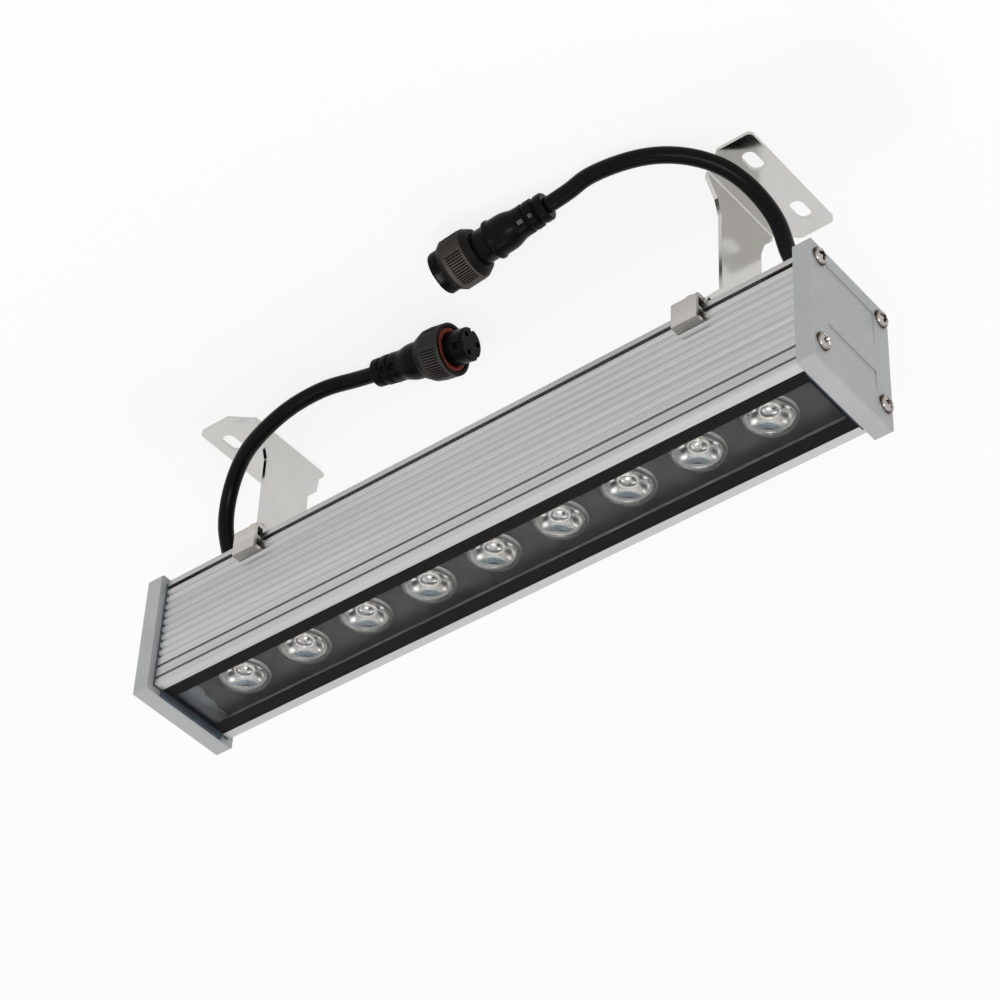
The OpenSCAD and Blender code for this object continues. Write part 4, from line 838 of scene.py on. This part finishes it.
def add_shell_two():
    form = Form()
    neck = [(7.1, 22.3), (7.0, 22.7), (6.8, 22.8), (6.3, 22.8), (6.3, 26.4), (0, 26.4)]
    form.lathe(dense(SHELL_REAR + neck, 0.5), 96, laid(PLUG_TWO_AT, PLUG_TWO_WAY))
    return add_piece("shell_two", form, "plug_black", ("plug_two_shell",), 50)


SEAL_AT = 34.0
SEAL_T = 1.7
SEAL_RIBS = 56


def seal_relief(r, h, a):
    front = smooth_step(h, SEAL_AT + 0.8, SEAL_AT + SEAL_T)
    return r, h - 0.35 * front * (0.5 + 0.5 * math.cos(SEAL_RIBS * a))


def add_seal():
    form = Form()
    ring = [(6.56, SEAL_AT), (8.2, SEAL_AT), (8.4, SEAL_AT + 0.5), (8.4, SEAL_AT + 1.2),
            (8.2, SEAL_AT + 1.55), (7.9, SEAL_AT + SEAL_T), (7.0, SEAL_AT + SEAL_T),
            (6.7, SEAL_AT + 1.5), (6.56, SEAL_AT + 1.2)]
    form.lathe(ring, SEAL_RIBS * 6, laid(PLUG_TWO_AT, PLUG_TWO_WAY), seal_relief, closed=True)
    return add_piece("seal_ring", form, "seal_red", ("plug_two_seal",))


# Window: the light rails beside the lens plate, and the sealant at the far end

RAIL_IN = 14.78
RAIL_OUT = 15.15
RAIL_TOP = 109.4
PLATE_END = 138.0
SEALANT_Y = 15.9
SEALANT_END = 141.5
LIP_LOW = 114.85
LIP_HIGH = 117.1
LIP_T = 0.9
LIP_Y = 16.2
GASKET_OUT = 142.75


def add_plate_rails():
    form = Form()
    for side in (-1, 1):
        section = [(RAIL_IN + 0.1, PLATE_TOP), (RAIL_IN, PLATE_TOP + 0.1), (RAIL_IN, RAIL_TOP - 0.15),
                   (RAIL_IN + 0.15, RAIL_TOP), (RAIL_OUT - 0.1, RAIL_TOP),
                   (RAIL_OUT, RAIL_TOP - 0.1), (RAIL_OUT, PLATE_TOP)]
        form.sweep([[(x, side * y, z) for y, z in section] for x in (-PLATE_END, PLATE_END)])
    add_piece("plate_rails", form, "plate_grey", material=RAIL_GREY)


def sealant_edge(y):
    return (136.0 + 0.17 * y + 0.5 * math.sin(0.8 * y + 0.5) + 0.25 * math.sin(2.3 * y)
            + 0.12 * math.sin(5.1 * y + 1.0))


def add_end_sealant():
    """A bed of grey sealant with an uneven front edge, at the far end of the channel."""
    cols = 56
    run = [(0.0, 0.0), (0.06, 0.3), (0.15, 0.45), (0.3, 0.5), (0.45, 0.55), (0.6, 0.6), (0.75, 0.8),
           (0.85, 1.1), (0.93, 1.7), (0.98, 2.5), (1.0, 3.2)]
    sections = []
    for i in range(cols + 1):
        y = SEALANT_Y * (2 * i / cols - 1)
        edge = sealant_edge(y)
        section = []
        for t, up in run:
            x = edge + (SEALANT_END - edge) * t
            swell = 0.04 * math.sin(1.7 * x + 0.8 * y) + 0.03 * math.sin(2.9 * y - x)
            section.append((x, y, PLATE_TOP + 0.02 + up + swell * min(1, 4 * t)))
        section.append((SEALANT_END, y, PLATE_TOP + 0.01))
        section.append((edge + 0.1, y, PLATE_TOP + 0.01))
        sections.append(section)
    form = Form()
    form.sweep(sections)
    add_piece("end_sealant", form, "gasket_rubber", material=SEALANT)


def add_gasket_lips():
    """The part of each cap gasket that shows between the housing's lips, above the glass. Its dark
    sheet also stands in for the shade in the gap there.
    """
    outline = [(LIP_LOW, 0.0), (LIP_HIGH - 0.35, 0.0), (LIP_HIGH - 0.1, 0.1), (LIP_HIGH, 0.35),
               (LIP_HIGH, LIP_T), (LIP_LOW, LIP_T)]
    form = Form()
    for side in (-1, 1):
        sections = []
        for i in range(41):
            y = LIP_Y * (i / 20 - 1)
            wave = 0.05 * math.sin(1.3 * y) + 0.04 * math.sin(3.1 * y)
            sections.append([(side * (GASKET_OUT - LIP_T + t), y, z + (wave if z > LIP_LOW else 0))
                             for z, t in outline])
        form.sweep(sections)
    add_piece("gasket_lips", form, "gasket_rubber")


add_lenses()
add_cap_screws()
boot_one = add_boot("one", PLUG_ONE_AT, PLUG_ONE_WAY)
boot_two = add_boot("two", PLUG_TWO_AT, PLUG_TWO_WAY)
shell_one = add_shell_one()
shell_two = add_shell_two()
seal_ring = add_seal()
add_plate_rails()
add_end_sealant()
add_gasket_lips()


# Floor, lights and world

FLOOR_HALF = 6.0
FLOOR_DROP = 0.0002
FLOOR_SEEN = 0.8
PLAIN_LIGHT = 0.7
WHITE = (1, 1, 1, 1)


def seen_share(tree):
    """1 for what the camera, metal and glass see of a surface, and 0 for the light that it gives."""
    path = tree.nodes.new("ShaderNodeLightPath")
    share = path.outputs["Is Camera Ray"]
    for ray in ("Is Glossy Ray", "Is Transmission Ray"):
        most = tree.nodes.new("ShaderNodeMath")
        most.operation = "MAXIMUM"
        tree.links.new(share, most.inputs[0])
        tree.links.new(path.outputs[ray], most.inputs[1])
        share = most.outputs[0]
    return share


def mix_white(tree, kind, share, plain, out):
    """Mixes white of strength 1 into a plain shader by a share, and leads the result to out."""
    white = tree.nodes.new(kind)
    white.inputs["Color"].default_value = WHITE
    white.inputs["Strength"].default_value = 1.0
    mix = tree.nodes.new("ShaderNodeMixShader")
    tree.links.new(share, mix.inputs["Fac"])
    tree.links.new(plain, mix.inputs[1])
    tree.links.new(white.outputs[0], mix.inputs[2])
    tree.links.new(mix.outputs[0], out)


def add_floor():
    look = Look("floor_white", (0.9, 0.9, 0.9), 0.9)
    look.tones(look.noise((3, 3, 3), 2.0, 0.5), 0.985, 1.0)
    scaled = look.node("ShaderNodeMath", operation="MULTIPLY")
    look.link(seen_share(look.tree), scaled.inputs[0])
    scaled.inputs[1].default_value = FLOOR_SEEN
    mix_white(look.tree, "ShaderNodeEmission", scaled.outputs[0], look.shader.outputs[0],
              look.tree.nodes["Material Output"].inputs["Surface"])
    mesh = bpy.data.meshes.new("floor")
    corners = [(-FLOOR_HALF, -FLOOR_HALF, 0), (FLOOR_HALF, -FLOOR_HALF, 0),
               (FLOOR_HALF, FLOOR_HALF, 0), (-FLOOR_HALF, FLOOR_HALF, 0)]
    mesh.from_pydata(corners, [], [(0, 1, 2, 3)])
    floor = bpy.data.objects.new("floor", mesh)
    floor.location.z = -FLOOR_DROP
    floor.data.materials.append(look.mat)
    bpy.context.scene.collection.objects.link(floor)


def add_world():
    world = bpy.data.worlds.new("studio")
    bpy.context.scene.world = world
    world.use_nodes = True
    tree = world.node_tree
    plain = tree.nodes["Background"]
    plain.inputs["Color"].default_value = WHITE
    plain.inputs["Strength"].default_value = PLAIN_LIGHT
    mix_white(tree, "ShaderNodeBackground", seen_share(tree), plain.outputs[0],
              tree.nodes["World Output"].inputs["Surface"])


def softbox(name, place, target, side, power):
    data = bpy.data.lights.new(name, "AREA")
    data.shape = "RECTANGLE"
    data.size = data.size_y = side
    data.energy = power
    obj = bpy.data.objects.new(name, data)
    obj.location = place
    obj.rotation_mode = "QUATERNION"
    way = Vector(target) - Vector(place)
    obj.rotation_quaternion = way.to_track_quat("-Z", "Y")
    bpy.context.scene.collection.objects.link(obj)


add_floor()
add_world()
softbox("key", (-0.7, -0.9, 1.2), (0, 0, 0.05), 0.4, 7)
softbox("over", (0.28, 0.32, 1.5), (0, 0, 0.1), 0.35, 3)

bpy.context.scene.view_settings.view_transform = "Standard"

bpy.context.view_layer.update()
